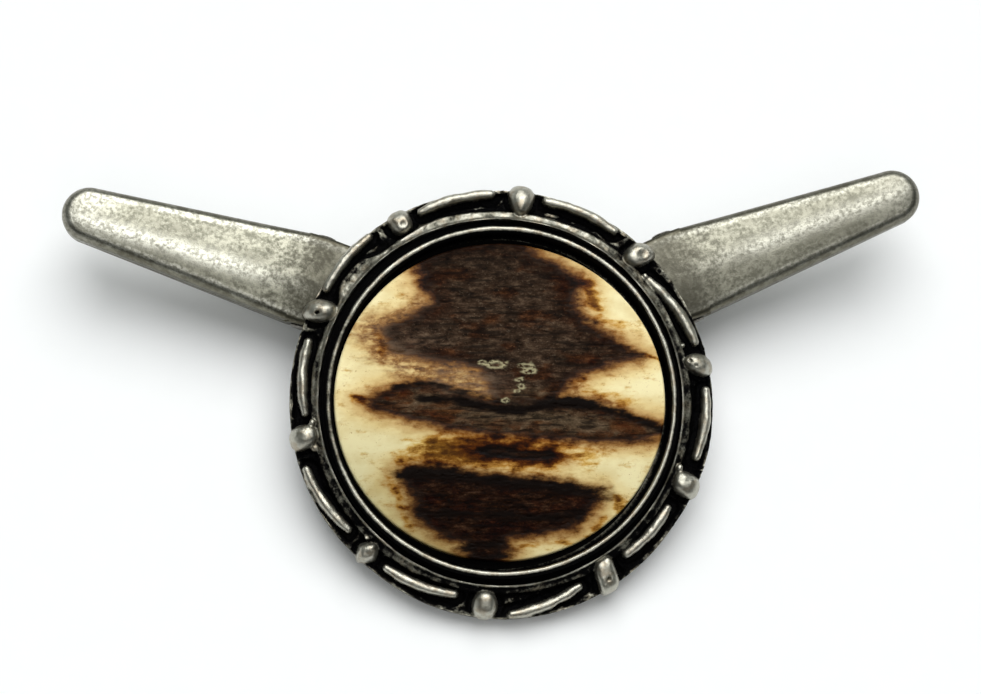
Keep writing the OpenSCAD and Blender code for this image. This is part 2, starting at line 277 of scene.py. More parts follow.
class Nodes:
    """A short way to write the nodes of a tree. A value is a socket or a number."""

    def __init__(self, tree):
        self.tree = tree

    def add(self, kind, **settings):
        node = self.tree.nodes.new(kind)
        for key, value in settings.items():
            setattr(node, key, value)
        return node

    def put(self, socket, value):
        if isinstance(value, bpy.types.NodeSocket):
            self.tree.links.new(value, socket)
        elif value is not None:
            if isinstance(value, tuple) and len(value) == 3 and socket.type == "RGBA":
                value = (*value, 1)
            socket.default_value = value

    def math(self, operation, a, b=None, c=None, clamp=False):
        node = self.add("ShaderNodeMath", operation=operation, use_clamp=clamp)
        for socket, value in zip(node.inputs, (a, b, c)):
            self.put(socket, value)
        return node.outputs[0]

    def plus(self, a, b):
        return self.math("ADD", a, b)

    def times(self, *values):
        product = values[0]
        for value in values[1:]:
            product = self.math("MULTIPLY", product, value)
        return product

    def stirred(self, value, *noises):
        """The value plus noises, each with how far its lowest and highest effects lie apart."""
        for noise, reach in noises:
            value = self.plus(value, self.math("MULTIPLY_ADD", noise, reach, -reach / 2))
        return value

    def span(self, value, low, high, to_low=0.0, to_high=1.0, smooth=True):
        """The value taken from one range to another, held at its ends."""
        node = self.add("ShaderNodeMapRange", interpolation_type="SMOOTHSTEP" if smooth else "LINEAR")
        for socket, number in zip(node.inputs, (value, low, high, to_low, to_high)):
            self.put(socket, number)
        return node.outputs[0]

    def ramp(self, value, *stops):
        node = self.add("ShaderNodeValToRGB")
        elements = node.color_ramp.elements
        while len(elements) < len(stops):
            elements.new(0.5)
        for element, (place, colour) in zip(elements, stops):
            element.position = place
            element.color = (*colour, 1)
        self.put(node.inputs["Fac"], value)
        return node.outputs["Color"]

    def mix(self, factor, a, b, blend="MIX"):
        node = self.add("ShaderNodeMix", data_type="RGBA", blend_type=blend)
        socket = {s.identifier: s for s in node.inputs}
        self.put(socket["Factor_Float"], factor)
        self.put(socket["A_Color"], a)
        self.put(socket["B_Color"], b)
        return next(s for s in node.outputs if s.identifier == "Result_Color")

    def axes(self, vector):
        node = self.add("ShaderNodeSeparateXYZ")
        self.put(node.inputs[0], vector)
        return node.outputs


class Finish(Nodes):
    """The nodes of a material. Its colours are sRGB levels up to 255, its sizes millimetres."""

    def __init__(self, name):
        self.material = bpy.data.materials.new(name)
        self.material.use_nodes = True
        super().__init__(self.material.node_tree)
        self.shader = self.tree.nodes["Principled BSDF"]
        self.spot = self.add("ShaderNodeAttribute", attribute_name="mm").outputs["Vector"]

    def drive(self, **sockets):
        for socket, value in sockets.items():
            self.put(self.shader.inputs[socket.replace("_", " ")], value)
        return self.material

    def value(self, name):
        return self.add("ShaderNodeAttribute", attribute_name=name).outputs["Fac"]

    def noise(self, x, y=None, z=None, detail=2.0, rough=0.5):
        """Noise from about 0.2 to 0.8 with grains of this size."""
        stretch = self.add("ShaderNodeVectorMath", operation="MULTIPLY")
        self.put(stretch.inputs[0], self.spot)
        stretch.inputs[1].default_value = (1 / x, 1 / (y or x), 1 / (z or x))
        node = self.add("ShaderNodeTexNoise")
        self.put(node.inputs["Vector"], stretch.outputs[0])
        node.inputs["Scale"].default_value = 1.0
        node.inputs["Detail"].default_value = detail
        node.inputs["Roughness"].default_value = rough
        return node.outputs["Fac"]

    def own_noise(self, scale):
        """Noise in the object's own metres, for a mesh that has no places in millimetres."""
        node = self.add("ShaderNodeTexNoise")
        self.put(node.inputs["Vector"], self.add("ShaderNodeTexCoord").outputs["Object"])
        node.inputs["Scale"].default_value = scale
        return node.outputs["Fac"]

    def tones(self, value, *stops):
        return self.ramp(value, *((place, shade(*levels)) for place, levels in stops))

    def over(self, base, levels, *shares, blend="MIX"):
        """The base with a colour laid over it, by the product of the shares."""
        return self.mix(self.times(*shares), base, shade(*levels), blend)

    def stained(self, base, levels, *shares):
        return self.over(base, levels, *shares, blend="MULTIPLY")

    def lit(self, base, levels, *shares):
        return self.over(base, levels, *shares, blend="ADD")

    def bump(self, height, depth):
        node = self.add("ShaderNodeBump")
        node.inputs["Strength"].default_value = 1.0
        node.inputs["Distance"].default_value = depth * MM
        self.put(node.inputs["Height"], height)
        return node.outputs["Normal"]


def shade(*levels):
    """Scene colour of an sRGB colour given as levels up to 255."""
    parts = [level / 255 for level in levels]
    return tuple(c / 12.92 if c <= 0.04045 else ((c + 0.055) / 1.055) ** 2.4 for c in parts)


# ---------------------------------------------------------------- the cast bezel

COLUMNS = 1440
THETA = 2 * pi * np.arange(COLUMNS) / COLUMNS

# Radii from the medallion's axis and heights above its back, in millimetres
MEDAL_R = 19.1
EDGE_R = 0.6
FLOOR_TOP = 1.2
SEAT_R = 15.0
LIP_R = 15.7
LIP_TOP = 3.98
LIP_ROUND = (LIP_R - SEAT_R) / 2
GROOVE_FLOOR = 2.5
GROOVE_R = 15.97
LAND_R = 16.15
RIDGE_TOP = 3.1
LAND_LOW = 2.6
RECESS_FLOOR = 1.55
WEB_TOP = 1.98
RIDGE_MEAN_R = 16.34
LAND_EDGE_R = 17.02

# The border's surface is met from outside: straight down, and towards the centre of a fan by the rim
FALL_FROM = 4.3
FALL = 3.3
FAN_R = 18.5
FAN_Z = 1.3
FAN_REACH = 2.4
GROUND_SLOPE = 0.62
FILLET, NUGGET_FILLET, BEAD_FILLET = 0.10, 0.12, 0.08

# Heights of the middles of twigs and nuggets, and how far round the ring one can reach, in radians
TWIG_Z = 2.12
NUGGET_Z = 1.75
TWIG_BOW = 0.10
TWIG_REACH, NUGGET_REACH, BEAD_REACH = 0.1, 0.16, 0.07

# Each nugget: bearing and tangential width, inner and outer radius, how much its inner end
# narrows, how square it is, its slant, its top, and its pits as (outward, sideways, radius, depth)
NUGGETS = (
    (84.0, 2.45, 16.60, 19.75, 0.50, 2.1, 0.0, 3.30, ()),
    (47.0, 2.40, 16.70, 19.55, 0.25, 2.3, -0.22, 3.20, ((0.25, -0.15, 0.42, 0.22),)),
    (11.0, 2.25, 16.55, 19.30, 0.25, 2.2, -0.25, 3.40,
     ((-0.75, 0.25, 0.13, 0.12), (-0.3, -0.2, 0.12, 0.1))),
    (-24.0, 2.35, 16.55, 19.30, 0.05, 2.6, -0.08, 3.40, ()),
    (-59.0, 2.20, 16.30, 19.50, 0.00, 3.2, -0.22, 3.30, ((0.35, 0.05, 0.16, 0.16),)),
    (-95.0, 2.45, 16.55, 19.33, 0.10, 2.3, 0.0, 3.30, ((0.15, 0.0, 0.55, 0.07),)),
    (-132.0, 2.15, 16.55, 19.10, -0.05, 1.5, -0.08, 3.25, ((0.1, 0.1, 0.35, 0.12),)),
    (-170.0, 2.45, 16.35, 19.15, 0.10, 2.2, 0.10, 3.40, ()),
    (153.0, 2.35, 16.55, 19.50, 0.05, 2.3, 0.25, 3.40, ((0.15, 0.32, 0.15, 0.28),)),
    (119.0, 2.25, 17.25, 19.60, 0.10, 2.4, 0.0, 3.25, ((-0.3, -0.12, 0.28, 0.14),)),
)

# Each twig: its two ends as bearing and radius, and its thickness
TWIGS = (
    (77.0, 18.55, 56.5, 18.50, 1.00),
    (39.5, 17.20, 17.5, 18.20, 1.12),
    (3.5, 18.30, -15.5, 18.00, 1.08),
    (-32.5, 17.45, -50.5, 17.35, 1.10),
    (-67.5, 17.65, -87.5, 18.75, 1.05),
    (-104.0, 17.45, -125.0, 17.85, 1.05),
    (-140.5, 17.60, -161.0, 18.25, 1.05),
    (-177.0, 17.40, -197.5, 17.95, 1.10),
    (146.5, 18.55, 128.5, 18.90, 1.02),
    (112.5, 18.50, 92.5, 18.72, 1.05),
)

# How far the casting's rim stands out of round, as bearing and millimetres
RIM_SWELL = ((-180, -0.26), (-155, -0.26), (-130, -0.34), (-108, 0.0), (-92, 0.12), (-80, 0.14),
             (-60, 0.0), (-35, -0.28), (-15, -0.02), (0, -0.08), (30, -0.2), (60, 0.0), (90, 0.08),
             (115, 0.16), (135, 0.24), (150, -0.1), (180, -0.26))
# How far the bright ridge by the groove stands out of round
RIDGE_SWELL = ((-180, -0.05), (-150, -0.16), (-130, -0.14), (-100, 0.0), (-60, -0.08), (-30, -0.16),
               (0, -0.2), (40, -0.16), (60, -0.02), (90, 0.06), (110, 0.14), (135, 0.3), (160, 0.1),
               (180, -0.05))

# Small grains of metal as bearing, radius, height and size
BEADS = (
    (-20.3, 16.85, 2.75, 0.36),
    (-173.9, 16.85, 2.75, 0.34),
    (-166.5, 17.05, 2.35, 0.42),
    (-135.0, 16.95, 2.5, 0.22),
    (41.3, 17.2, 2.45, 0.3),
    (121.0, 16.95, 2.45, 0.24),
    (17.5, 17.1, 2.4, 0.22),
)


def turn_to(angle, bearing):
    """Angle minus bearing, from -pi to pi."""
    return (angle - radians(bearing) + pi) % (2 * pi) - pi


def hump(bearing, half, power=2):
    """1 at a bearing, falling off to either side over this many radians."""
    return np.exp(-((turn_to(THETA, bearing) / half) ** power))


def round_about(table):
    """Values from a table of bearings, eased between them, for every column."""
    bearings, values = np.array(table, float).T
    values = np.interp((np.degrees(THETA) + 180) % 360 - 180, bearings, values)
    for _ in range(2):
        values = box_blur(values, 25, 0, True)
    return values


def columns_near(bearing, reach):
    return np.nonzero(np.abs(turn_to(THETA, bearing)) < reach)[0]


def twig_parts(twig):
    """Columns near a twig, and a function for place along it, overshoot and sideways distance."""
    start, start_r, end, end_r, _ = twig
    half_turn = radians(start - end) / 2
    middle = (start + end) / 2
    near = columns_near(middle, half_turn + TWIG_REACH)
    turn = turn_to(THETA[near], middle)

    def measure(r):
        share = 0.5 - turn / (2 * half_turn)
        held = np.clip(share, 0, 1)
        path_r = start_r + (end_r - start_r) * held + TWIG_BOW * np.sin(held * pi)
        over = (share - held) * 2 * half_turn * path_r
        return held, over, r - path_r

    return near, measure


def nugget_parts(nugget):
    """Columns near a nugget, and a function for distances outward and sideways from its middle."""
    near = columns_near(nugget[0], NUGGET_REACH)
    turn = turn_to(THETA[near], nugget[0])
    middle_r = (nugget[2] + nugget[3]) / 2

    def measure(r):
        out = r * np.cos(turn) - middle_r
        return out, r * np.sin(turn) - nugget[6] * out

    return near, measure


def nugget_outline(nugget, out, side):
    """Distances along and across a nugget, and in plan from its outline, as shares of its size."""
    _, width, inner, outer, narrow, square = nugget[:6]
    half_length = (outer - inner) / 2
    half_across = width / 2 * (1 + narrow * np.clip(out / half_length, -1.2, 1.2) * 0.6)
    a = np.abs(out / half_length)
    b = np.abs(side / np.maximum(half_across, 0.2))
    return a, b, (a**square + b**square) ** (1 / square)


RIM_R = MEDAL_R - 0.05 + round_about(RIM_SWELL)
RIDGE_R = RIDGE_MEAN_R + round_about(RIDGE_SWELL)


def land_edge():
    """Radius where the flat land round the groove ends, which is widest at the upper left."""
    widened = 0.95 * hump(139, 0.13, 4) + 0.40 * hump(106, 0.30) + 0.20 * hump(60, 0.3)
    return LAND_EDGE_R + widened + 0.13 * layered_noise(polar(17, THETA), 1.6, 3)


def terrain(r):
    """Height of the border without its nuggets and twigs; r is (rays, columns)."""
    spot = polar(r, THETA)
    rough = layered_noise(spot, 1.1, 11)
    ragged = 0.28 * layered_noise(spot, 0.9, 13)
    floor = RECESS_FLOOR + 0.16 * layered_noise(spot, 0.6, 19)
    height = np.full(r.shape, WEB_TOP) + 0.42 * rough
    for twig in TWIGS:
        near, measure = twig_parts(twig)
        _, over, aside = measure(r[:, near])
        away = np.hypot(over, aside)
        inside = smoothstep(1.14, 0.74, away + ragged[:, near])
        height[:, near] += (floor[:, near] - height[:, near]) * inside
    for nugget in NUGGETS:
        near, measure = nugget_parts(nugget)
        share = nugget_outline(nugget, *measure(r[:, near]))[2]
        ring = smoothstep(1.46, 1.14, share + ragged[:, near])
        height[:, near] += (floor[:, near] + 0.15 - height[:, near]) * ring
    rim = smoothstep(RIM_R - 0.6, RIM_R - 0.33, r) * (0.40 + 0.22 * layered_noise(spot, 1.4, 17))
    height = np.maximum(height, RECESS_FLOOR + rim)
    edge = land_edge()
    ridge = np.exp(-(((r - RIDGE_R) / 0.13) ** 2))
    fall = np.clip((r - RIDGE_R + 0.04) / 0.9, 0, 1)
    land = RIDGE_TOP - 0.16 - (RIDGE_TOP - LAND_LOW - 0.1) * fall + 0.16 * ridge
    land += 0.10 * layered_noise(spot, 0.7, 23) * smoothstep(0, 0.3, fall)
    on_land = smoothstep(edge + 0.16, edge - 0.16, r)
    height = height + (land - height) * on_land
    return height - 0.6 * smoothstep(RIDGE_R - 0.07, RIDGE_R - 0.19, r)


def cast_bodies(r, z):
    """How far each point lies outside the nearest nugget, twig or bead, in millimetres."""
    field = np.full(np.broadcast_shapes(r.shape, z.shape), 9.0)
    for twig in TWIGS:
        near, measure = twig_parts(twig)
        share, over, aside = measure(r[:, near])
        radius = twig[4] / 2 * (1 + 0.05 * np.sin(share * 9 + twig[0]) + 0.03 * np.sin(share * 19 + twig[1]))
        radius *= 1 - 0.15 * np.abs(share * 2 - 1) ** 3
        middle_z = TWIG_Z + 0.05 * np.sin(share * 7 + twig[3])
        body = np.sqrt(over**2 + aside**2 + (z[:, near] - middle_z) ** 2 * 0.8) - radius
        field[:, near] = smooth_min(field[:, near], body, FILLET)
    for nugget in NUGGETS:
        near, measure = nugget_parts(nugget)
        out, side = measure(r[:, near])
        square, top = nugget[5], nugget[7]
        a, b, _ = nugget_outline(nugget, out, side)
        c = np.abs(z[:, near] - (NUGGET_Z - 0.20 * out)) / (top - NUGGET_Z)
        flat = (a**square + b**square) ** (1 / square)
        power = max(square, 2.0)
        size = min(nugget[1], nugget[3] - nugget[2]) / 2
        body = ((flat**power + c**power) ** (1 / power) - 1) * size
        for pit_out, pit_side, pit_r, depth in nugget[8]:
            body = body + depth * np.exp(-((out - pit_out) ** 2 + (side - pit_side) ** 2) / pit_r**2)
        field[:, near] = smooth_min(field[:, near], body, NUGGET_FILLET)
    for bearing, bead_r, bead_z, size in BEADS:
        near = columns_near(bearing, BEAD_REACH)
        turn = turn_to(THETA[near], bearing)
        away = np.sqrt((r[:, near] * np.cos(turn) - bead_r) ** 2 + (r[:, near] * np.sin(turn)) ** 2 * 0.8
                       + (z[:, near] - bead_z) ** 2)
        field[:, near] = smooth_min(field[:, near], away - size, BEAD_FILLET)
    return field


def border_field(r, z):
    """How far each point lies outside the cast border, in millimetres; arrays are (rays, columns)."""
    ground = np.maximum((z - terrain(r)) * GROUND_SLOPE, r - RIM_R)
    return smooth_min(ground, cast_bodies(r, z), FILLET)


def border_rows():
    """Radius and height of the border's surface, met from outside along a fan of lines."""
    lines = [((r, FALL_FROM), (0, -FALL)) for r in np.linspace(GROOVE_R, FAN_R, 45)]
    for angle in np.linspace(0, pi / 2, 23)[1:]:
        out = FAN_REACH * np.array((sin(angle), cos(angle)))
        lines.append((np.array((FAN_R, FAN_Z)) + out, -out))
    lines += [((FAN_R + FAN_REACH, z), (-FAN_REACH, 0)) for z in np.linspace(FAN_Z, EDGE_R, 7)[1:-1]]
    start, step = (np.array([line[k] for line in lines])[:, None, :] for k in range(2))
    shape = (len(start), COLUMNS)
    low, high = np.zeros(shape), np.ones(shape)
    found = np.zeros(shape, bool)
    for share in np.linspace(0, 1, 34)[1:]:
        spot = start + share * step + np.zeros((*shape, 1))
        hit = (border_field(spot[..., 0], spot[..., 1]) < 0) & ~found
        high[hit] = share
        found |= hit
        low[~found] = share
    low = np.minimum(low, high)
    for _ in range(7):
        middle = (low + high) / 2
        spot = start + middle[..., None] * step
        inside = border_field(spot[..., 0], spot[..., 1]) < 0
        high = np.where(inside, middle, high)
        low = np.where(inside, low, middle)
    spot = start + high[..., None] * step
    return spot[..., 0], spot[..., 1]


def bezel_shape():
    """The casting in rows from the middle of the seat over the lip and the border to the back's middle."""
    ring = polar(15, THETA)
    sway = 0.05 * layered_noise(ring, 5.0, 41) + 0.035 * layered_noise(ring, 0.9, 43)
    dent = 0.10 * hump(127, 0.05)
    lip_foot = LIP_TOP - LIP_ROUND
    rows = [(r, FLOOR_TOP) for r in (0.0, 4.0, 9.0, 13.0, 14.6)]
    rows += [(SEAT_R, z) for z in np.linspace(FLOOR_TOP, lip_foot, 8)[:-1]]
    crest_r = (SEAT_R + LIP_R) / 2 - 0.04 + 0.10 * np.cos(turn_to(THETA, 125)) + sway
    for share in np.linspace(-1, 1, 17):
        side_r = SEAT_R if share < 0 else LIP_R
        lift = LIP_ROUND * np.sqrt(max(1 - share * share, 0)) ** 1.3
        z = lip_foot - dent * (1 - share * share) + lift - 0.4 * np.abs(sway) * (lift > 0)
        rows.append((crest_r + abs(share) * (side_r - crest_r), z))
    rows += [(LIP_R + 0.02 * sway, z) for z in np.linspace(lip_foot, GROOVE_FLOOR + 0.12, 7)[1:]]
    rows += [(r, GROOVE_FLOOR + 0.02 * sway) for r in (15.74, 15.80, 15.87, 15.93)]
    rows += list(zip(*border_rows()))
    for angle in np.linspace(0, -pi / 2, 8):
        rows.append((RIM_R - EDGE_R + EDGE_R * cos(angle), EDGE_R + EDGE_R * sin(angle)))
    rows += [(r, 0) for r in (18.2, 17.4, 16.2, 14.8, 13.2, 11.4, 9.4, 7.0, 4.0, 0.0)]
    r, z = (np.array([value + 0 * THETA for value in column]) for column in zip(*rows))
    points = polar(r, THETA, z)
    normals = grid_normals(points)
    normals *= np.sign(normals[60, :, 2].mean())
    # The casting's own roughness stays inside the smooth surface
    proud = smoothstep(0.16, 0.02, cast_bodies(r, z))
    lumps = 0.5 * layered_noise(points, 0.45, 51, 3) + 0.5 * layered_noise(points, 2.2, 57, 2)
    on_land = smoothstep(2.35, 2.55, z) * smoothstep(17.9, 17.5, r) * (1 - proud)
    on_border = smoothstep(LAND_R, LAND_R + 0.3, r)
    depth = on_border * (0.05 - 0.02 * proud - 0.03 * on_land) + 0.004
    hammered = 0.06 * proud * on_border
    sunk = depth * (lumps + 0.8) + hammered * (layered_noise(points, 0.75, 53, 2) + 0.8)
    points = points - normals * np.where(r < SEAT_R + 0.01, 0, sunk)[..., None]
    points[..., 2] = np.clip(points[..., 2], 0.0, LIP_TOP + 0.02)
    values = {"hollow": hollowness(points, normals, 3), "wide_hollow": hollowness(points, normals, 9),
              "proud": proud, "height": points[..., 2], "radius": r, "crest": np.abs(r - crest_r),
              "ridge": np.abs(r - RIDGE_R)}
    return points, grid_faces(*r.shape), values


# ---------------------------------------------------------------- the antler slab

SLAB_CENTRE = (-0.20, 0.02)
SLAB_HALF = (14.72, 14.18)
SLAB_TOP = 3.88
SLAB_FALL = 0.85
SLAB_BOTTOM = 1.46
SLAB_ROUND = 0.24
SLAB_GRID = 400
# Distances across the slab's fibres count in full, those along them only by this share
FIBRE_SPREAD = 0.55

# Outlines of the bark left on the slab, in millimetres from the medallion's centre
BARK_TOP = (
    (-7.5, 12.6), (-6.2, 13.6), (-3.6, 14.3), (-0.8, 14.8), (1.6, 14.4), (2.8, 13.6), (4.0, 12.8),
    (5.4, 12.0), (6.6, 11.2), (7.1, 10.4), (6.7, 9.6), (6.4, 9.0), (6.7, 8.3), (7.1, 7.6), (7.8, 6.8),
    (8.6, 6.2), (9.9, 5.5), (11.2, 4.8), (12.2, 4.1), (11.4, 3.6), (10.0, 3.3), (8.6, 2.9), (7.2, 2.5),
    (6.1, 1.9), (5.5, 1.1), (4.6, -0.4), (-1.2, -0.4), (-1.0, 1.2), (-1.7, 2.5), (-3.4, 3.2),
    (-6.3, 3.6), (-9.2, 4.4), (-10.3, 5.2), (-10.5, 6.4), (-9.7, 7.0), (-7.9, 7.7), (-6.4, 8.6),
    (-6.6, 9.4), (-7.1, 10.2), (-6.9, 11.1), (-7.4, 11.8),
)
BARK_MIDDLE = (
    (-12.0, 0.0), (-11.0, 0.6), (-9.4, 1.2), (-8.0, 1.6), (-6.5, 1.7), (-5.0, 1.4), (-3.5, 0.8),
    (-1.5, 0.3), (1.0, 0.2), (4.0, 0.3), (6.0, 0.1), (8.0, -0.3), (10.0, -0.8), (12.0, -1.5),
    (14.8, -2.4), (14.6, -3.0), (12.2, -3.6), (8.0, -3.7), (4.0, -3.3), (0.0, -3.1), (-2.0, -2.9),
    (-5.0, -2.4), (-7.0, -1.8), (-9.5, -1.2), (-11.2, -0.7),
)
BARK_BOTTOM = (
    (-9.0, -6.6), (-8.5, -5.9), (-7.0, -5.6), (-5.5, -5.8), (-4.0, -6.3), (0.0, -6.6), (2.6, -6.8),
    (4.5, -7.1), (6.2, -7.6), (8.0, -8.1), (8.5, -8.6), (7.8, -9.5), (7.2, -10.4), (6.0, -11.2),
    (4.0, -11.7), (2.0, -11.9), (0.5, -12.3), (0.1, -14.4), (-3.5, -14.4), (-3.3, -12.6), (-5.5, -11.8),
    (-7.0, -10.8), (-8.0, -9.6), (-7.8, -8.6), (-8.6, -7.6),
)
BARK_STREAK = (
    (-2.8, -4.2), (-1.0, -3.9), (2.0, -4.1), (4.2, -4.4), (5.2, -5.0), (3.5, -5.3), (1.0, -5.1),
    (-1.5, -4.8),
)

BARKS = (BARK_TOP, BARK_MIDDLE, BARK_BOTTOM, BARK_STREAK)

# Strokes of extra tone on the slab: points of a line, its half width, and its strength
BLACK_STROKES = (
    (((-7.2, 0.2), (-4.2, 0.15)), 0.42, 1.0),
    (((-4.2, 0.15), (-2.0, -0.3), (0.0, -0.75)), 0.46, 1.0),
    (((0.0, -0.75), (2.0, -0.8), (4.2, -0.25)), 0.58, 1.15),
    (((4.2, -0.25), (6.0, -0.15), (7.8, -0.4)), 0.55, 1.1),
    (((7.8, -0.4), (10.0, -0.9), (12.2, -1.7), (14.2, -2.6)), 0.36, 0.95),
    (((-9.5, 1.1), (-7.8, 1.45), (-6.2, 1.5), (-4.6, 1.1)), 0.30, 0.7),
    (((-4.6, 1.0), (-2.0, 0.5), (1.0, -0.35)), 0.30, 0.7),
    (((-9.3, 6.4), (-6.5, 6.7), (-4.0, 6.9)), 0.3, 0.5),
    (((6.0, 5.0), (8.5, 5.2), (11.0, 4.7), (12.6, 4.1)), 0.42, 0.5),
    (((-8.9, -6.6), (-6.5, -6.2), (-3.0, -6.9), (2.0, -7.2), (6.0, -7.6), (9.2, -8.4)), 0.8, 0.95),
    (((-7.2, -9.9), (-3.0, -9.9), (2.0, -10.3), (7.0, -10.2)), 0.6, 0.8),
    (((-3.2, -12.9), (-0.3, -12.6)), 0.7, 0.8),
    (((-2.5, -13.8), (0.2, -13.6)), 0.6, 0.7),
    (((-2.4, -4.2), (1.0, -4.3), (4.4, -4.8)), 0.4, 0.4),
    (((-6.3, 13.6), (-2.0, 13.9)), 0.5, 0.5),
    (((1.3, 3.3), (2.1, 3.35)), 0.2, 0.6),
    (((-2.9, 3.7), (-0.6, 3.9), (1.2, 3.6)), 0.3, 0.6),
    (((7.2, 7.1), (8.3, 7.0)), 0.25, 0.5),
    (((8.6, -7.6), (9.5, -8.6)), 0.35, 0.6),
)
AMBER_STROKES = (
    (((-6.0, -4.5), (-3.0, -4.3), (0.0, -4.4), (4.0, -4.7)), 1.45, 1.0),
    (((-6.5, -4.6), (-3.0, -5.2)), 0.6, 0.7),
    (((-8.8, -5.3), (-6.5, -4.9)), 0.7, 0.6),
    (((4.5, -4.5), (7.5, -4.9)), 0.9, 0.6),
    (((-3.0, -4.2), (1.0, -4.3), (4.8, -4.8)), 0.7, 0.9),
    (((6.2, 10.7), (7.6, 10.6), (8.4, 8.2)), 0.55, 0.7),
    (((8.6, 7.6), (10.6, 6.8)), 0.7, 0.35),
    (((6.4, 1.8), (8.0, 0.6), (11.0, 0.2)), 0.8, 0.35),
    (((-9.9, -6.9), (-9.0, -9.2), (-8.3, -10.6)), 0.5, 0.6),
    (((9.9, -8.4), (10.3, -9.4)), 0.5, 0.55),
    (((9.0, -10.3), (7.5, -11.9)), 0.35, 0.5),
    (((-6.8, 11.8), (-5.9, 9.3)), 0.7, 0.4),
    (((-13.0, 0.1), (-12.3, 0.0)), 0.35, 0.6),
    (((2.0, -12.9), (6.0, -12.4)), 0.35, 0.35),
    (((-4.4, -3.3), (4.0, -3.9)), 0.4, 0.45),
    (((12.9, 4.1), (14.3, 3.5)), 0.22, 0.6),
    (((-10.6, 4.2), (-10.9, 5.8)), 0.5, 0.5),
)
CLOUD_STROKES = (
    (((-12.2, 6.4), (-10.2, 5.6)), 1.7, 0.75),
    (((-11.6, 4.2), (-8.5, 3.4)), 1.1, 0.7),
    (((-9.5, 3.0), (-5.0, 2.7), (-2.0, 2.4)), 0.8, 0.9),
    (((-5.0, 1.9), (-3.0, 1.7), (-0.8, 1.5)), 1.1, 1.6),
    (((-9.8, 5.3), (-7.5, 5.0)), 1.5, 0.9),
    (((-9.0, 7.6), (-7.0, 8.6)), 0.8, 0.4),
    (((6.8, 1.0), (9.5, -0.2)), 0.6, 0.35),
)

# Small pale rings beside the bark: centre and half sizes
PALE_RINGS = (
    (-1.75, 3.45, 0.35, 0.16),
    (-0.55, 3.2, 0.65, 0.26),
    (2.15, 3.1, 0.55, 0.25),
    (2.4, 2.65, 0.5, 0.22),
    (1.5, 1.9, 0.32, 0.14),
    (1.65, 1.3, 0.26, 0.2),
    (1.35, 0.9, 0.25, 0.12),
    (0.15, 0.05, 0.3, 0.16),
)

STROKES = {"black": BLACK_STROKES, "amber": AMBER_STROKES, "cloud": CLOUD_STROKES}


def outline_distance(x, y, outline):
    """Distance from a closed outline, positive inside it; x comes in narrowed by FIBRE_SPREAD."""
    corners = np.array(outline, float) * (FIBRE_SPREAD, 1)
    best = np.full(x.shape, 1e9)
    inside = np.zeros(x.shape, bool)
    for (ax, ay), (bx, by) in zip(corners, np.roll(corners, -1, 0)):
        dx, dy = bx - ax, by - ay
        share = np.clip(((x - ax) * dx + (y - ay) * dy) / (dx**2 + dy**2), 0, 1)
        best = np.minimum(best, np.hypot(x - ax - share * dx, y - ay - share * dy))
        crosses = (ay > y) != (by > y)
        level = (y - ay) / np.where(dy == 0, 1e-9, dy)
        inside ^= crosses & (x < ax + level * dx)
    return np.where(inside, best, -best)


def stroke(x, y, line, half):
    """1 on a line of points, falling off smoothly to either side."""
    best = np.full(x.shape, 1e9)
    for (ax, ay), (bx, by) in zip(line, line[1:]):
        dx, dy = bx - ax, by - ay
        share = np.clip(((x - ax) * dx + (y - ay) * dy) / (dx * dx + dy * dy), 0, 1)
        best = np.minimum(best, ((x - ax - share * dx) * 0.75) ** 2 + (y - ay - share * dy) ** 2)
    return np.exp(-best / half**2)


def slab_marks(points):
    """What the slab's material reads at each point: bark, black, amber, cloud and pores."""
    flat = points * (1, 1, 0)
    wander = 0.55 * layered_noise(flat, (5.0, 1.5, 1), 71) + 0.30 * layered_noise(flat, (1.6, 0.34, 1), 73, 2)
    x = points[..., 0] + 0.35 * layered_noise(flat, (1.8, 0.7, 1), 79, 3)
    y = points[..., 1] + 0.45 * wander
    marks = {"bark": np.max([outline_distance(x * FIBRE_SPREAD, y, o) for o in BARKS], axis=0)}
    for key, strokes in STROKES.items():
        marks[key] = np.max([power * stroke(x, y, line, half) for line, half, power in strokes], axis=0)
    marks["pores"] = np.zeros(x.shape)
    uneven = 1 + 0.55 * layered_noise(flat, (0.45, 0.3, 1), 83, 2)
    for ring_x, ring_y, half_x, half_y in PALE_RINGS:
        away = np.hypot((points[..., 0] - ring_x) / half_x, (points[..., 1] - ring_y) / half_y) * uneven
        marks["pores"] = np.maximum(marks["pores"], np.exp(-(((away - 0.95) / 0.38) ** 2)))
    return marks


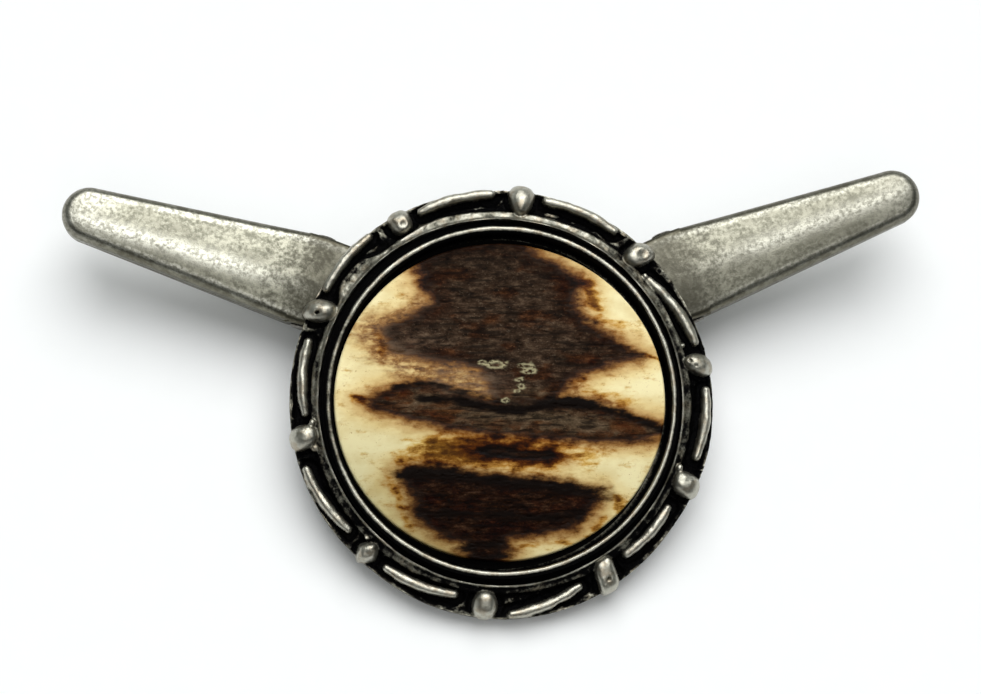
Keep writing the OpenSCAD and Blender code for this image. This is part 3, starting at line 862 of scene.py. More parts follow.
def slab_shape():
    """A square grid drawn out to the slab's outline, with a rounded edge, a side and a flat bottom."""
    count = SLAB_GRID
    line = np.linspace(-1, 1, count)
    u, v = np.meshgrid(line, line)
    x = u * np.sqrt(1 - v * v / 2)
    y = v * np.sqrt(1 - u * u / 2)
    share = np.hypot(x, y)
    outline = 1 - 0.0025 * (1 + layered_noise(polar(14, np.arctan2(y, x)), 4.0, 61))
    x, y = x * outline * SLAB_HALF[0], y * outline * SLAB_HALF[1]
    away = (1 - share) * SLAB_HALF[1]
    round_off = SLAB_ROUND - np.sqrt(np.maximum(SLAB_ROUND**2 - np.maximum(SLAB_ROUND - away, 0) ** 2, 0))
    top = SLAB_TOP - SLAB_FALL * (y / SLAB_HALF[1]) ** 2 - 0.12 * (x / SLAB_HALF[0]) ** 2 - round_off
    face = np.stack([x + SLAB_CENTRE[0], y + SLAB_CENTRE[1], top], -1)
    marks = slab_marks(face)
    flat = face * (1, 1, 0)
    grain = layered_noise(flat, (1.3, 0.16, 1), 91, 3)
    pits = np.maximum(layered_noise(flat, (0.5, 0.18, 1), 95, 2) - 0.15, 0)
    on_bark = smoothstep(-0.1, 0.5, marks["bark"])
    relief = on_bark * (0.035 * grain - 0.12 * pits - 0.05) + 0.004 * grain
    face[..., 2] += smoothstep(0, 0.5, away) * relief
    last = count - 1
    near = np.arange(last)
    edge = np.concatenate([near, near * count + last, count * count - 1 - near, (last - near) * count])
    rim = face.reshape(-1, 3)[edge]
    side = np.repeat(rim[None], 8, 0)
    side[:5, :, 2] = rim[None, :, 2] + np.linspace(0, 1, 5)[:, None] * (SLAB_BOTTOM - rim[None, :, 2])
    for k, shrink in enumerate((0.9, 0.5, 0.0), 5):
        side[k] = rim * (shrink, shrink, 0) + np.array((*SLAB_CENTRE, 0)) * (1 - shrink)
        side[k, :, 2] = SLAB_BOTTOM
    side_marks = {key: np.repeat(value.reshape(-1)[edge][None], 8, 0) for key, value in marks.items()}
    return joined((face, grid_faces(count, count, False), marks),
                  (side, grid_faces(8, len(edge)), side_marks))


# ---------------------------------------------------------------- the clips

# Places on a clip in millimetres: u runs from the hinge pin towards the tip, v across, z out of the
# medallion's face. The sheet is drawn a little thinner than in the CAD, to stay inside it.
SHEET = 0.6
VISUAL_SHEET = SHEET - 0.03
ROOF = -0.1
CLOSE_Z = -2.2
EDGE_Z = -2.25
BED_Z = -4.14
TIP_Z = -3.2
JAW_HALF = 4.1
TAIL_HALF = 3.4
TIP_R = 2.49
TIP_U = 20.9
SHOULDER_U = 1.45
EAR_R = 1.3
SHOULDER_R = 1.05
SHOULDER_TILT = radians(8.5)
RIDGE_TILT = radians(3)
RIDGE_V = {"left": 0.85, "right": 0.0}
# How pale each clip's crown, shoulders and tip are, by rubbing and as a painted highlight; below 1 the clip
# is also a little darker overall
RUBBED_AND_SHEEN = {"left": 1.0, "right": 0.75}
LEVER_U = -(HINGE_REACH + 2.3)
LEVER_HALF = 3.1
ROLL_HALF = 2.3
ROLL_R = 0.65
LEVER_FALL = 1.3
ROLL_Z = BED_Z - LEVER_FALL - ROLL_R
TROUGH_R = 0.75
PLATE_ROUND = 0.12
EAR_FACES = (2.85, -3.45)
EAR_ROOT = ROOF - 0.95


def half_width(u):
    return np.interp(u, (-HINGE_REACH, 0, SHOULDER_U, TIP_U), (TAIL_HALF, JAW_HALF, JAW_HALF, TIP_R))


def jaw_side(places):
    """Outline points and spine points along one side of a jaw, and round its tip."""
    rows = [((u, half_width(u)), (u, 0)) for u in places]
    for angle in np.linspace(pi / 2, 0, 25)[1:]:
        rows.append(((TIP_U + TIP_R * cos(angle), TIP_R * sin(angle)), (TIP_U, 0)))
    return rows


def mirrored(rows):
    """The rows as they are, then back again on the other side of the spine."""
    flip = np.array((1, -1))
    return rows + [tuple(np.array(v) * flip for v in row) for row in rows[-2::-1]]


def edge_and_spine(loop):
    """The outline and the spine as arrays."""
    return (np.array([row[k] for row in loop], float) for k in range(2))


def drawn_in(edge, spine, width, rows, base):
    """A sheet's outer surface, from depths in from the edge and rises over a base height."""
    outer = []
    for depth, rise in rows:
        spot = spine + (edge - spine) * ((width - depth) / width)[:, None]
        outer.append(np.concatenate([spot, (base(spot[:, 0]) + rise)[:, None]], -1))
    return np.array(outer)


def sheet_shell(outer, thickness, closed):
    """A sheet with rounded free edges from its outer surface: rows run from the spine to the free edge,
    columns run round the outline."""
    normals = grid_normals(outer, closed)
    normals *= -np.sign(normals[1, :, 2].mean())
    normals[0] = (0, 0, -1)
    inner = outer + normals * thickness
    onward = unit(outer[-1] - outer[-2])
    middle = (outer[-1] + inner[-1]) / 2
    half = (outer[-1] - inner[-1]) / 2
    swell = abs(thickness) * 0.22
    rim = [middle + half * cos(a) + onward * swell * sin(a) for a in np.linspace(0, pi, 7)[1:-1]]
    grid = np.concatenate([outer, np.array(rim), inner[::-1]])
    faces = [grid_faces(*grid.shape[:2], closed)]
    points = [grid.reshape(-1, 3)]
    rows = len(outer)
    open_ends = () if closed else (0, -1)
    for column in open_ends:
        across = np.linspace(0, 1, 7)[None, :, None]
        away = unit((grid[:, column] - grid[:, 1 if column == 0 else -2])[:rows])
        cap = outer[:, column, None] * (1 - across) + inner[:, column, None] * across
        cap = cap + away[:, None] * abs(thickness) * 0.2 * np.sin(across * pi)
        arc = grid[rows - 1 : rows + 6, column][None]
        faces.append(grid_faces(rows + 1, 7, False) + sum(len(p) for p in points))
        points.append(np.concatenate([cap, arc]).reshape(-1, 3))
    return np.concatenate(points), np.concatenate(faces)


def upper_jaw_sheet(ridge_v):
    """The roof of the upper jaw, its shoulders and walls; the ridge stands off the middle by ridge_v."""
    places = np.concatenate([np.linspace(-HINGE_REACH, 0.6, 24)[:-1], np.linspace(0.6, 2.4, 30),
                             np.linspace(2.4, TIP_U, 76)[1:]])
    tail = [((-HINGE_REACH - TAIL_HALF * cos(a), TAIL_HALF * sin(a)), (-HINGE_REACH, 0))
            for a in np.linspace(0, pi / 2, 19)[:-1]]
    edge, spine = edge_and_spine(mirrored(tail + jaw_side(places))[:-1])
    spine[:, 1] += ridge_v * smoothstep(-2, 6, spine[:, 0])
    width = np.linalg.norm(edge - spine, axis=-1)
    u = edge[:, 0]
    skirt = smoothstep(1.35, 1.75, u)
    fade = smoothstep(-8.0, 1.0, u)
    bend = np.interp(u, (-5, 0, 6, TIP_U), (0.62, 0.75, SHOULDER_R, SHOULDER_R))
    crown = fade * RIDGE_TILT
    first = SHOULDER_TILT * fade + 0.01
    last = np.minimum(radians(48) * smoothstep(-9.5, -5, u) + 0.12 + radians(42) * skirt, pi / 2)
    reach = width - bend * (np.sin(last) - np.sin(first))
    rows = [(width, ROOF + 0 * width)]
    for q in np.linspace(0, 1, 45)[1:]:
        tilt = crown * smoothstep(0, 0.16, q - 0.01)
        tilt = tilt + (first - crown) * smoothstep(0.15, 1, q)
        rows.append((width - reach * q, rows[-1][1] - np.tan(tilt) * reach / 44))
    top = rows[-1][1]
    for share in np.linspace(0, 1, 15)[1:]:
        a = first + (last - first) * share
        rows.append((bend * (np.sin(last) - np.sin(a)), top - bend * (np.cos(first) - np.cos(a))))
    wall_top = rows[-1][1]
    wave = layered_noise(np.stack([*edge.T, 0 * width], -1), 6.0, 101)
    wall_end = CLOSE_Z + 0.14 + 0.015 * wave
    for share in np.linspace(0, 1, 8)[1:]:
        rows.append((0 * width, wall_top + ((wall_end - wall_top) * skirt - 0.03 * (1 - skirt)) * share))
    outer = drawn_in(edge, spine, width, rows, lambda u: 0 * u)
    outer[..., 2] -= 0.015 * (1 + layered_noise(outer, 2.6, 103, 3)) * smoothstep(-3, 1, u)
    return sheet_shell(outer, VISUAL_SHEET, True)


def plate(outline, low, high):
    """A flat plate with rounded edges: its outline in (u, z), standing between two values of v."""
    loop = np.array(outline, float)
    centre = loop.mean(0)
    rows = [(0.0, low)]
    for a in np.linspace(pi / 2, 0, 4):
        rows.append((1 - PLATE_ROUND * (1 - cos(a)) / EAR_R, low + PLATE_ROUND * (1 - sin(a))))
    rows += [(share, high + low - v) for share, v in rows[::-1]]
    points = []
    for share, v in rows:
        spot = centre + (loop - centre) * share
        points.append(np.stack([spot[:, 0], np.full(len(loop), v), spot[:, 1]], -1))
    return np.array(points), grid_faces(len(rows), len(loop))


def ear_outline():
    """The upper jaw's ear: its round end below the pin, and its root above it."""
    loop = [(EAR_R * cos(a), PIN_Z - EAR_R * sin(a)) for a in np.linspace(0, pi, 25)]
    return loop + [(-EAR_R, EAR_ROOT), (0, EAR_ROOT), (EAR_R, EAR_ROOT)]


def upper_jaw_shape(side):
    ears = [plate(ear_outline(), low, low + SHEET) for low in EAR_FACES]
    return with_crown([upper_jaw_sheet(RIDGE_V[side])] + ears, RIDGE_V[side], RUBBED_AND_SHEEN[side])


def with_crown(parts, ridge_v=0, pale=0.7):
    """The parts with how far each point lies in from its jaw's side and from its ridge, and how pale the
    jaw's crown, shoulders and tip are, by rubbing and as a painted highlight."""
    shapes = []
    for points, faces in parts:
        flat = points.reshape(-1, 3)
        beyond = np.maximum(flat[:, 0] - TIP_U, 0)
        inset = half_width(flat[:, 0]) - np.hypot(flat[:, 1], beyond)
        values = {"inset": inset, "from_ridge": flat[:, 1] - ridge_v, "pale": np.float64(pale)}
        shapes.append((flat, faces, values))
    return joined(*shapes)


def lower_bottom(u):
    """Height of the lower jaw's outer bottom."""
    return np.interp(u, (-EAR_R, EAR_R, TIP_U + TIP_R), (BED_Z - SHEET, BED_Z - SHEET, TIP_Z)) + 0.02


def lower_jaw_sheet():
    """The trough of the lower jaw, its walls and its ears."""
    ear = [-EAR_R * cos(a) for a in np.linspace(0, pi, 25)]
    places = np.concatenate([ear, np.linspace(EAR_R, TIP_U, 70)[1:]])
    edge, spine = edge_and_spine(mirrored(jaw_side(places)))
    width = np.linalg.norm(edge - spine, axis=-1)
    u = edge[:, 0]
    ear_top = PIN_Z + np.sqrt(np.maximum(EAR_R**2 - u**2, 0))
    top = np.where(np.abs(u) <= EAR_R, np.where(u > 0, np.maximum(ear_top, EDGE_Z), ear_top), EDGE_Z) - 0.13
    rows = [(width - (width - TROUGH_R) * q, 0 * width) for q in np.linspace(0, 1, 12)]
    for a in np.linspace(0, pi / 2, 9)[1:]:
        rows.append((TROUGH_R * (1 - sin(a)) + 0 * width, TROUGH_R * (1 - cos(a)) + 0 * width))
    for share in np.linspace(0, 1, 9)[1:]:
        rows.append((0 * width, TROUGH_R + (np.maximum(top - lower_bottom(u) - TROUGH_R, 0.02)) * share))
    return sheet_shell(drawn_in(edge, spine, width, rows, lower_bottom), -VISUAL_SHEET, False)


def lever_sheet():
    """The lever behind the hinge, with its end rolled over."""
    slope = atan(LEVER_FALL / (-EAR_R - LEVER_U))
    path = [(u, BED_Z - 0.06 - 0.05 * k, 0.42) for k, u in enumerate((-0.55, -0.9))]
    for share in np.linspace(0, 1, 22):
        path.append((-EAR_R - 0.06 + (LEVER_U + EAR_R + 0.06) * share, BED_Z - LEVER_FALL * share, SHEET))
    for a in np.linspace(slope, radians(312), 34)[1:]:
        path.append((LEVER_U - ROLL_R * sin(a), ROLL_Z + ROLL_R * cos(a), SHEET - 0.1))
    u, z, thick = np.array(path).T
    v = np.concatenate([np.linspace(-1, -0.9, 5), np.linspace(-0.9, 0.9, 21)[1:-1], np.linspace(0.9, 1, 5)])
    forward = unit(np.stack([np.gradient(u), np.gradient(z)], -1))
    narrowed = LEVER_HALF - (LEVER_HALF - ROLL_HALF) * smoothstep(0.05, 0.40, np.arange(len(u)) / len(u))
    grid = []
    for layer, side, sign in ((0, v, 1), (1, v[::-1], -1)):
        edge = 0.12 * (1 - np.sqrt(np.maximum(1 - ((np.abs(side) - 0.9) / 0.1).clip(0, 1) ** 2, 0)))
        inset = (thick * layer)[:, None] + sign * edge[None]
        spot_u = u[:, None] - forward[:, None, 1] * inset
        spot_z = z[:, None] + forward[:, None, 0] * inset
        grid.append(np.stack([spot_u, narrowed[:, None] * side[None], spot_z], -1))
    grid = np.concatenate(grid, 1)
    first, last = (end.mean(1, keepdims=True) + 0 * end for end in (grid[:1], grid[-1:]))
    grid = np.concatenate([first, grid, last])
    return grid, grid_faces(*grid.shape[:2])


def lower_jaw_shape():
    return with_crown([lower_jaw_sheet(), lever_sheet()])


def hinge_pin_shape():
    """A pin with two domed heads, lying across the clip."""
    half = [(0.0, 4.39), (0.35, 4.385), (0.62, 4.36), (0.82, 4.31), (0.93, 4.25), (0.95, 4.21), (0.93, 4.17),
            (0.86, 4.15), (0.62, 4.15), (0.6, 4.1), (0.6, 2.0)]
    profile = half + [(r, -z) for r, z in half[::-1]]
    points, faces, values = lathe(profile, 40)
    turned = np.stack([points[..., 0], points[..., 2], points[..., 1] + PIN_Z], -1)
    return turned, faces, values


def rivet_shape():
    """A rivet with a low head in the seat and a spread end behind the clip."""
    return lathe([(0, 1.14), (0.7, 1.13), (1.2, 1.08), (1.45, 1.0), (1.49, 0.9), (1.45, 0.78), (0.85, 0.76),
                  (0.79, 0.7), (0.79, 0.2), (0.79, -0.3), (0.79, -0.76), (0.84, -0.81), (1.28, -0.82),
                  (1.38, -0.9), (1.38, -1.0), (1.28, -1.12), (1.0, -1.23), (0.6, -1.285), (0.3, -1.27),
                  (0, -1.25)])


# The spring's wire and coil; its legs' bearings turn from z towards u
WIRE_R = 0.35
COIL_R = 1.07
COIL_HALF = 2.051
LEG = 6.4
TOP_LEG_BEARING = radians(2.878)
COIL_SWEEP = radians(180 - 8.046 - 2.878 + 1800)


def spring_path():
    """Middle of the wire, in millimetres from the pin: leg, coil, leg."""

    def spoke(b):
        return np.array((sin(b), 0, cos(b)))

    def along(b):
        return np.array((cos(b), 0, -sin(b)))

    start, end = TOP_LEG_BEARING, TOP_LEG_BEARING + COIL_SWEEP
    path = []
    for share in np.linspace(1, 0, 18)[:-1]:
        path.append(COIL_R * spoke(start) - LEG * share * along(start) + (0, COIL_HALF, 0))
    steps = 40 * ceil(COIL_SWEEP / 2 / pi)
    for k in range(steps + 1):
        path.append(COIL_R * spoke(start + COIL_SWEEP * k / steps) + (0, COIL_HALF * (1 - 2 * k / steps), 0))
    for share in np.linspace(0, 1, 18)[1:]:
        path.append(COIL_R * spoke(end) + LEG * share * along(end) + (0, -COIL_HALF, 0))
    return np.array(path)


def spring_shape():
    """A round wire swept along the path, with rounded ends."""
    path = spring_path()
    along = unit(np.gradient(path, axis=0))
    side = unit(np.array((0.0, 1.0, 0.0)) - along * along[:, 1:2])
    turn = 2 * pi * np.arange(16) / 16
    ring = side[:, None] * np.cos(turn)[None, :, None]
    ring = ring + np.cross(along, side)[:, None] * np.sin(turn)[None, :, None]
    path, along = path[:, None], along[:, None]
    rows = [path[:1] + 0 * ring[:1]]
    for a in (0.35, 0.8, 1.2):
        rows.append(path[:1] + along[:1] * 0.1 * (1 - sin(a)) + ring[:1] * WIRE_R * sin(a))
    rows.append(path[1:-1] + ring[1:-1] * WIRE_R)
    for a in (1.2, 0.8, 0.35):
        rows.append(path[-1:] - along[-1:] * 0.1 * (1 - sin(a)) + ring[-1:] * WIRE_R * sin(a))
    rows.append(path[-1:] + 0 * ring[-1:])
    grid = np.concatenate(rows) + (0, 0, PIN_Z)
    return grid, grid_faces(*grid.shape[:2]), {}


# ---------------------------------------------------------------- finishes


def cast_pewter():
    """Antiqued casting: pale metal, bared by wearing, on what stands up, black oxide in what lies low, with
    painted highlight and painted shade in places on the border.
    """
    f = Finish("cast_pewter")
    fine = f.noise(0.22, detail=3, rough=0.6)
    broad = f.noise(1.3, detail=3, rough=0.55)
    speck = f.noise(0.08)
    lift = f.stirred(f.value("wear_and_light"), (fine, 0.8), (broad, 0.5))
    colour = f.tones(lift, (0.16, (3, 3, 4)), (0.30, (22, 21, 20)), (0.43, (86, 85, 77)),
                     (0.62, (130, 128, 116)), (1.0, (182, 180, 168)))
    patina = f.span(f.noise(0.75, detail=4, rough=0.6), 0.46, 0.64)
    colour = f.stained(colour, (206, 184, 160), patina, 0.5)
    colour = f.over(colour, (52, 50, 46), f.span(speck, 0.58, 0.72), 0.25)
    height = f.math("MULTIPLY_ADD", fine, 0.6, f.times(speck, 0.4))
    return f.drive(Base_Color=colour, Metallic=f.span(lift, 0.22, 0.5),
                   Roughness=f.stirred(f.span(lift, 0.3, 1.0, 0.60, 0.40), (fine, 0.2)),
                   Normal=f.bump(height, 0.032), Specular_IOR_Level=0.02)


def antler():
    """Polished antler: cream bone, amber stain and black edges round grey-brown bark."""
    f = Finish("antler")
    long_grain = f.noise(2.0, 0.5, 1, detail=4, rough=0.6)
    fine_grain = f.noise(0.4, 0.16, 1, detail=3, rough=0.65)
    blotch = f.noise(1.3, 0.8, 1, detail=5, rough=0.62)
    mottle = f.noise(1.0, 0.5, 1, detail=5, rough=0.7)
    grit = f.noise(0.22, 0.16, 1, detail=3, rough=0.7)
    across, along, _ = f.axes(f.spot)
    bark = f.stirred(f.value("bark"), (long_grain, 0.4), (blotch, 1.2), (fine_grain, 0.25))
    on_bark = f.span(bark, 0.10, 0.75)
    haze = f.math("MULTIPLY", f.value("cloud"), f.span(blotch, 0.30, 0.62, 0.35, 1.2), clamp=True)

    # Cream bone, which darkens towards the bark, greys to the lower left partly as its own tone and partly as
    # painted shade, and is hazy in places
    limit = f.plus(f.math("MULTIPLY_ADD", mottle, 2.2, -1.1), f.math("MULTIPLY_ADD", long_grain, 1.2, -0.85))
    smoky = f.math("MAXIMUM", bark, f.math("MINIMUM", f.plus(bark, haze), limit))
    cream = f.tones(f.span(smoky, -2.0, 2.0, smooth=False),
                    (0.0, (252, 240, 190)), (0.18, (244, 224, 166)), (0.33, (214, 180, 120)),
                    (0.43, (152, 108, 58)), (0.505, (78, 47, 23)), (0.57, (34, 19, 10)))
    # Painted shade in part: the cream is made greyer and darker towards the lower left.
    cream = f.stained(cream, (172, 174, 166), f.span(along, 4.0, -13.0),
                      f.span(across, 4.0, -8.0, 0.45, 1.0), 0.8)
    cream = f.stained(cream, (214, 192, 146), f.span(f.noise(2.4, 1.8, 1, detail=4), 0.40, 0.66), 0.35)
    cream = f.stained(cream, (168, 122, 72), f.span(f.noise(0.16), 0.62, 0.72),
                      f.span(blotch, 0.40, 0.6), 0.6)
    cream = f.over(cream, (126, 104, 84), haze, f.span(long_grain, 0.36, 0.62, 0.25, 1.0), 0.6)

    # Bark: gritty and fibrous, darker at the top, paler in the middle and browner below
    brown = f.tones(mottle, (0.34, (18, 10, 5)), (0.46, (46, 32, 21)), (0.56, (62, 47, 35)),
                    (0.68, (92, 74, 58)))
    brown = f.over(brown, (132, 116, 98), f.span(grit, 0.57, 0.72), 0.4)
    brown = f.over(brown, (20, 12, 7), f.span(grit, 0.45, 0.32), 0.5)
    brown = f.stained(brown, (150, 140, 130), f.span(along, 8.0, 13.0, 0.0, 0.5))
    brown = f.lit(brown, (60, 52, 38), f.span(along, 1.6, 0.6), f.span(along, -4.6, -3.4),
                  f.span(mottle, 0.32, 0.6, 0.3, 1.0))
    brown = f.over(brown, (18, 11, 6), f.span(f.noise(2.4, 0.34, 1, detail=3), 0.53, 0.64), 0.75)
    brown = f.stained(brown, (236, 172, 104), f.span(f.noise(3.4, 1.5, 1, detail=3), 0.50, 0.64, 0.0, 0.8))
    brown = f.stained(brown, (196, 132, 74), f.span(bark, 1.7, 0.6), f.span(blotch, 0.42, 0.58, 0.2, 0.85))
    brown = f.stained(brown, (158, 112, 66), f.span(along, -4.6, -6.2), f.span(mottle, 0.66, 0.45, 0.7, 1.0))
    brown = f.lit(brown, (52, 42, 34), haze, f.span(mottle, 0.3, 0.6))
    tone = f.mix(on_bark, cream, brown)

    # Amber stain, black edges and pale rings lie over both
    amber = f.span(f.stirred(f.value("amber"), (blotch, 1.5), (long_grain, 1.2)), 0.05, 1.15)
    stain = f.tones(amber, (0.0, (255, 255, 255)), (0.3, (228, 198, 140)), (0.65, (146, 106, 48)),
                    (1.0, (78, 50, 20)))
    tone = f.mix(f.span(on_bark, 0, 1, 1.0, 0.35), tone, stain, "MULTIPLY")
    black = f.stirred(f.value("black"), (long_grain, 0.8), (fine_grain, 0.5), (blotch, 1.3))
    tone = f.over(tone, (10, 4, 2), f.span(black, 0.05, 1.0), f.span(bark, -0.7, 0.0, 0.65, 1.0))
    broken = f.span(f.noise(0.3, 0.2, 1, detail=3), 0.36, 0.52)
    tone = f.over(tone, (186, 178, 140), f.value("pores"), f.times(broken, 0.8))
    height = f.math("MULTIPLY_ADD", fine_grain, 0.7, f.times(long_grain, 0.3))
    return f.drive(Base_Color=tone, Roughness=f.span(on_bark, 0, 1, 0.28, 0.6),
                   Normal=f.bump(f.times(height, on_bark), 0.05), Specular_IOR_Level=0.04)


def clip_steel():
    """Plated sheet with an aged finish: mottled grey, pale where hands rub it and as a painted highlight
    along crown, shoulders and tip, brown down its sides as tarnish and painted shade.
    """
    f = Finish("clip_steel")
    grain = f.noise(0.34, detail=4, rough=0.6)
    cloud = f.noise(1.5, 1.0, 1, detail=4, rough=0.62)
    broad = f.noise(4.0, 2.6, 1)
    speck = f.noise(0.10)
    along = f.axes(f.spot)["X"]
    inset = f.stirred(f.value("inset"), (cloud, 0.7))
    mottle = f.math("MULTIPLY_ADD", grain, 0.5, f.math("MULTIPLY_ADD", cloud, 0.4, f.times(broad, 0.1)))
    metal = f.mix(f.span(mottle, 0.40, 0.60), shade(108, 107, 95), shade(150, 149, 135))
    aside = f.stirred(f.math("ABSOLUTE", f.value("from_ridge")), (grain, 2.2))
    # Pale along the crown, a band just in from the sides, and the tip: rubbing, and a painted highlight where
    # the light catches them.
    crown = f.times(f.span(aside, 1.35, 0.1), f.span(along, 2.0, 8.0, 0.2, 1.0))
    edge = f.times(f.span(inset, 0.35, 0.6), f.span(inset, 1.15, 0.8))
    tip = f.span(along, 17.5, 22.5, 0.0, 0.6)
    rubbed_and_sheen = f.math("MAXIMUM", f.math("MAXIMUM", crown, f.times(edge, 0.6)), tip)
    metal = f.over(metal, (222, 221, 209), rubbed_and_sheen, f.span(grain, 0.38, 0.62, 0.3, 1.0), f.value("pale"))
    by_hinge = f.stirred(along, (cloud, 7.0), (grain, 5.0))
    metal = f.over(metal, (58, 56, 48), f.span(by_hinge, 5.2, -0.8, 0.0, 0.85),
                   f.span(along, -5.0, -1.0, 0.3, 1.0))
    metal = f.over(metal, (66, 62, 53), f.span(speck, 0.58, 0.72), 0.35)
    metal = f.over(metal, (92, 90, 79), f.span(broad, 0.48, 0.64), f.span(cloud, 0.40, 0.6), 0.45)
    metal = f.over(metal, (98, 96, 86), f.span(f.value("pale"), 1.0, 0.7, 0.0, 0.3))
    # Browner down the sides: tarnish, and painted shade on the steep walls.
    colour = f.over(metal, (92, 87, 72), f.span(inset, 0.62, 0.10), 0.5)
    height = f.math("MULTIPLY_ADD", grain, 0.7, f.times(speck, 0.3))
    return f.drive(Base_Color=colour, Roughness=f.span(mottle, 0.35, 0.65, 0.44, 0.30),
                   Normal=f.bump(height, 0.035), Metallic=1.0)


def small_steel(name, pale, dark, rough):
    """Plain small steel part with faint tarnish."""
    f = Finish(name)
    cloud = f.noise(0.5, detail=4, rough=0.65)
    return f.drive(Base_Color=f.mix(f.span(cloud, 0.35, 0.65), shade(*dark), shade(*pale)),
                   Roughness=f.span(cloud, 0.3, 0.7, rough + 0.15, rough),
                   Normal=f.bump(f.noise(0.12), 0.012), Metallic=1.0)


def epoxy():
    """Dark glue in the seat, with faint ripples; its near-black also serves as painted shade in the gap round
    the slab.
    """
    f = Finish("epoxy")
    ripple = f.own_noise(900)
    return f.drive(Base_Color=f.mix(ripple, shade(5, 4, 4), shade(14, 12, 11)), Normal=f.bump(ripple, 0.05),
                   Roughness=0.5, Specular_IOR_Level=0.02)


# How much the floor glows where it is seen directly, in a mirror or through something
FLOOR_LIFT = 0.04


def paper():
    """Plain pale floor. What the camera, metal and clear things see of it is lifted to white."""
    f = Finish("paper")
    rays = f.add("ShaderNodeLightPath").outputs
    seen = f.plus(rays["Is Camera Ray"], rays["Is Glossy Ray"])
    seen = f.math("ADD", seen, rays["Is Transmission Ray"], clamp=True)
    return f.drive(Base_Color=f.mix(f.own_noise(400), (0.87, 0.885, 0.90), (0.89, 0.905, 0.92)),
                   Roughness=0.9, Specular_IOR_Level=0.1, Emission_Color=(1, 1, 1),
                   Emission_Strength=f.times(seen, FLOOR_LIFT))


# ---------------------------------------------------------------- the pieces

STEEL = clip_steel()
RIVET_STEEL = small_steel("rivet_steel", (188, 184, 174), (120, 114, 104), 0.3)
PIN_STEEL = small_steel("pin_steel", (150, 146, 138), (72, 68, 62), 0.32)
SPRING_STEEL = small_steel("spring_wire", (150, 150, 152), (70, 69, 70), 0.25)


def bezel_wear_and_light(values):
    """How far the metal is bared by rubbing, from 0 to 1, by how it stands out of its surroundings; it also
    holds a painted highlight on the border's upper side and the lip's crest, and painted shade on the outer
    border there and on the seat's wall.
    """
    height, radius = values["height"], values["radius"]
    spot = polar(radius, THETA, height)
    patchy = layered_noise(spot, 1.5, 131, 3)
    # Painted highlight: the border's upper side, which faces the light, is made paler here and on its land
    # below.
    upper_side = 0.5 + 0.5 * np.cos(turn_to(THETA, 105))
    flecks = layered_noise(spot, 0.7, 139, 3)
    ground = 0.18 + 0.34 * smoothstep(0.45, 0.92, upper_side) + 0.25 * patchy + 0.45 * flecks
    ground += 0.10 * smoothstep(RIM_R - 0.45, RIM_R - 0.2, radius) * (height > 0.3)
    on_land = smoothstep(2.40, 2.60, height) * (radius < 17.6) * upper_side
    ground += 0.20 * on_land
    on_wall = smoothstep(RIM_R - 0.22, RIM_R - 0.10, radius) * smoothstep(2.1, 1.8, height)
    ground -= 0.5 * smoothstep(2.0, 1.7, height) * (radius > LAND_R) * (1 - on_wall)
    # Painted shade: the outer border beyond the land is made darker on the upper side.
    ground -= 0.22 * smoothstep(17.2, 17.6, radius) * upper_side * (1 - on_wall)
    ground += 0.16 * on_wall
    wear_and_light = ground + (0.92 - ground) * values["proud"]
    wear_and_light -= (5.0 - 3.5 * on_land) * np.clip(values["hollow"], -0.02, 0.12)
    wear_and_light -= (0.7 - 0.5 * on_land) * np.clip(values["wide_hollow"], -0.1, 0.35)
    ridge = smoothstep(0.13, 0.05, values["ridge"]) * smoothstep(2.7, 2.85, height)
    wear_and_light = np.maximum(wear_and_light, ridge * (0.82 + 0.5 * patchy))
    on_lip = smoothstep(15.85, 15.72, radius) * (height > 3.0)
    # The lip's crest is made pale by wearing, and widened and brightened into a painted highlight.
    crest_wear_and_sheen = 1.0 - 0.35 * hump(178, 0.55) + 0.5 * layered_noise(spot, 0.9, 137, 3)
    crest = smoothstep(0.27, 0.08, values["crest"] + 0.05 * patchy) * crest_wear_and_sheen
    wear_and_light = wear_and_light + (crest - wear_and_light) * on_lip
    in_groove = smoothstep(15.62, 15.72, radius) * smoothstep(16.2, 16.05, radius)
    wear_and_light *= 1 - in_groove * (1 - ridge) * (height < 3.6)
    # The seat's wall under the lip is made black: oxide, and painted shade in the gap round the slab.
    wear_and_light *= 1 - smoothstep(15.3, 15.1, radius) * smoothstep(3.8, 3.6, height)
    wear_and_light = np.where((height < 0.3) | (radius < 14.9), 0.55 + 0.2 * patchy, wear_and_light)
    return np.clip(wear_and_light, 0, 1)


points, faces, values = bezel_shape()
piece("bezel_casting", (points, faces, {"wear_and_light": bezel_wear_and_light(values).reshape(-1)}), PLACE["medallion"],
      "medallion", "cast_pewter", cast_pewter(), "bezel")
piece("antler_face", slab_shape(), PLACE["medallion"], "medallion", "antler", antler(), "antler_slab")
frame["nodes"]["adhesive_bed"].data.materials.clear()
frame["nodes"]["adhesive_bed"].data.materials.append(epoxy())

lower, pin, spring, rivet = lower_jaw_shape(), hinge_pin_shape(), spring_shape(), rivet_shape()
for side in SIDES:
    place, clip, jaw = PLACE[side], "clip_" + side, "jaw_" + side
    piece("clip_top_" + side, upper_jaw_shape(side), place, clip, "clip_steel", STEEL, "upper_jaw_" + side)
    piece("clip_under_" + side, lower, place, jaw, "clip_steel", STEEL, "lower_jaw_" + side)
    piece("hinge_pin_turned_" + side, pin, place, clip, "pin_steel", PIN_STEEL, "hinge_pin_" + side)
    piece("rivet_set_" + side, rivet, rivet_place(side), "medallion", "rivet_steel", RIVET_STEEL,
          "rivet_" + side)
    wire = piece("spring_" + side, spring, place, None, "spring_wire", SPRING_STEEL,
                 "torsion_spring_" + side)
    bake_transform(wire)

# ---------------------------------------------------------------- floor, light and camera

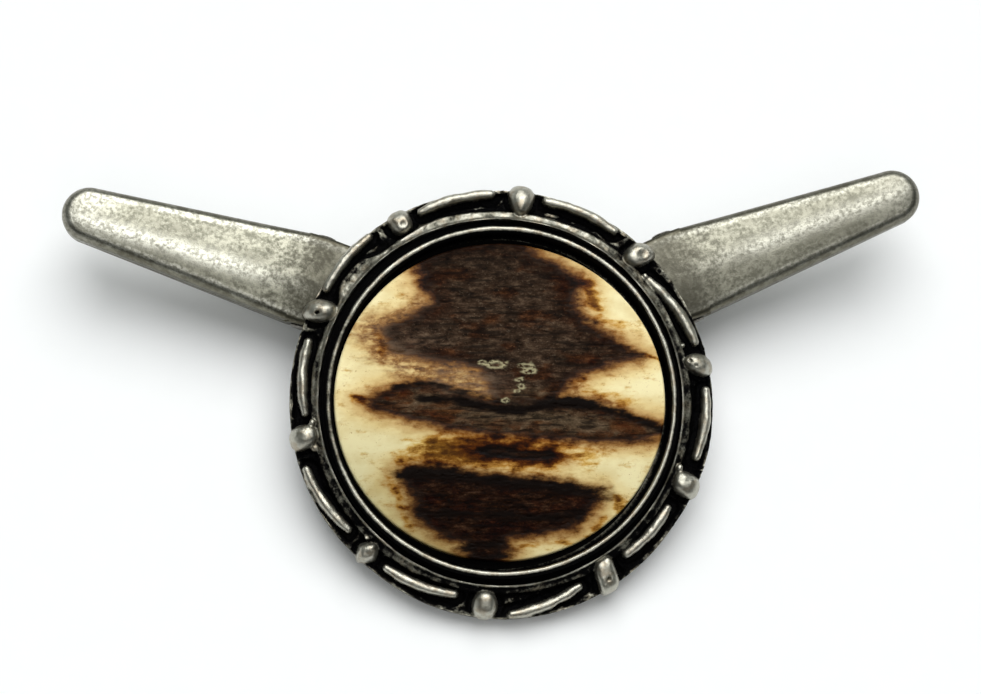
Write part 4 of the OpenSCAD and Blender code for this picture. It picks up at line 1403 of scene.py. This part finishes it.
FLOOR_HALF = 4.0
FLOOR_Z = CAD_BOX[0].z - 0.02 * MM

floor_mesh = bpy.data.meshes.new("floor")
corners = ((-1, -1), (1, -1), (1, 1), (-1, 1))
floor_mesh.from_pydata([(x * FLOOR_HALF, y * FLOOR_HALF, FLOOR_Z) for x, y in corners], [], [(0, 1, 2, 3)])
floor_mesh.materials.append(paper())
floor = new_object("floor", floor_mesh)


def soft_sun(name, azimuth, height, spread, strength, colour):
    """A lamp far away; azimuth turns from +y towards +x, and spread is its angle across."""
    lamp = bpy.data.lights.new(name, "SUN")
    lamp.angle = radians(spread)
    lamp.energy = strength
    lamp.color = colour
    thing = new_object(name, lamp)
    az, el = radians(azimuth), radians(height)
    towards = Vector((sin(az) * cos(el), cos(az) * cos(el), sin(el)))
    thing.rotation_mode = "QUATERNION"
    thing.rotation_quaternion = towards.to_track_quat("Z", "Y")


soft_sun("softbox", 8, 66, 56, 2.72, (1.0, 0.995, 0.98))
soft_sun("overhead", 180, 68, 50, 0.60, (1.0, 0.99, 0.97))


# The room is brightest this far from overhead, towards +y; its levels rise from the opposite side to there
ROOM_LEAN = radians(50)
ROOM_LEVELS = ((0.0, 0.03), (0.50, 0.05), (0.68, 0.08), (0.85, 0.16), (1.0, 0.22))
ROOM_TINT = (0.94, 1.07, 1.02)


def studio_world():
    """A plain room: bright towards the back and overhead, dim on the camera's side, white at the horizon."""
    world = bpy.data.worlds.new("studio")
    world.use_nodes = True
    n = Nodes(world.node_tree)
    direction = n.add("ShaderNodeTexCoord").outputs["Generated"]
    lobe = n.add("ShaderNodeVectorMath", operation="DOT_PRODUCT")
    n.put(lobe.inputs[0], direction)
    n.put(lobe.inputs[1], (0, sin(ROOM_LEAN), cos(ROOM_LEAN)))
    room = n.ramp(n.math("MULTIPLY_ADD", lobe.outputs["Value"], 0.5, 0.5),
                  *((place, tuple(level * tint for tint in ROOM_TINT)) for place, level in ROOM_LEVELS))
    horizon = n.span(n.axes(direction)["Z"], 0.01, 0.11, 1.0, 0.0)
    n.put(n.tree.nodes["Background"].inputs["Color"], n.mix(horizon, room, (1, 1, 1)))
    bpy.context.scene.world = world


studio_world()
bpy.context.scene.view_settings.view_transform = "Standard"

# The camera stands on the side towards -y and looks down; angles in degrees, places in metres
AZIMUTH, ELEVATION, ROLL = 9.4, 67.75, 8.8
DISTANCE = 0.2945
TARGET = Vector((-0.00039, 0.00434, 0.005))
LENS_MM, SENSOR_MM = 120, 36
NEAREST, FARTHEST = 0.01, 20


def photo_camera():
    az, el, roll = (radians(v) for v in (AZIMUTH, ELEVATION, ROLL))
    forward = Vector((sin(az) * cos(el), cos(az) * cos(el), -sin(el)))
    right = Vector((cos(az), -sin(az), 0))
    upward = right.cross(forward)
    right, upward = cos(roll) * right + sin(roll) * upward, cos(roll) * upward - sin(roll) * right
    data = bpy.data.cameras.new("camera")
    data.lens = LENS_MM
    data.sensor_width = SENSOR_MM
    data.clip_start, data.clip_end = NEAREST, FARTHEST
    thing = new_object("camera", data)
    stand = TARGET - forward * DISTANCE
    thing.matrix_world = Matrix([[right[k], upward[k], -forward[k], stand[k]] for k in range(3)]
                                + [[0, 0, 0, 1]])
    bpy.context.scene.camera = thing


photo_camera()
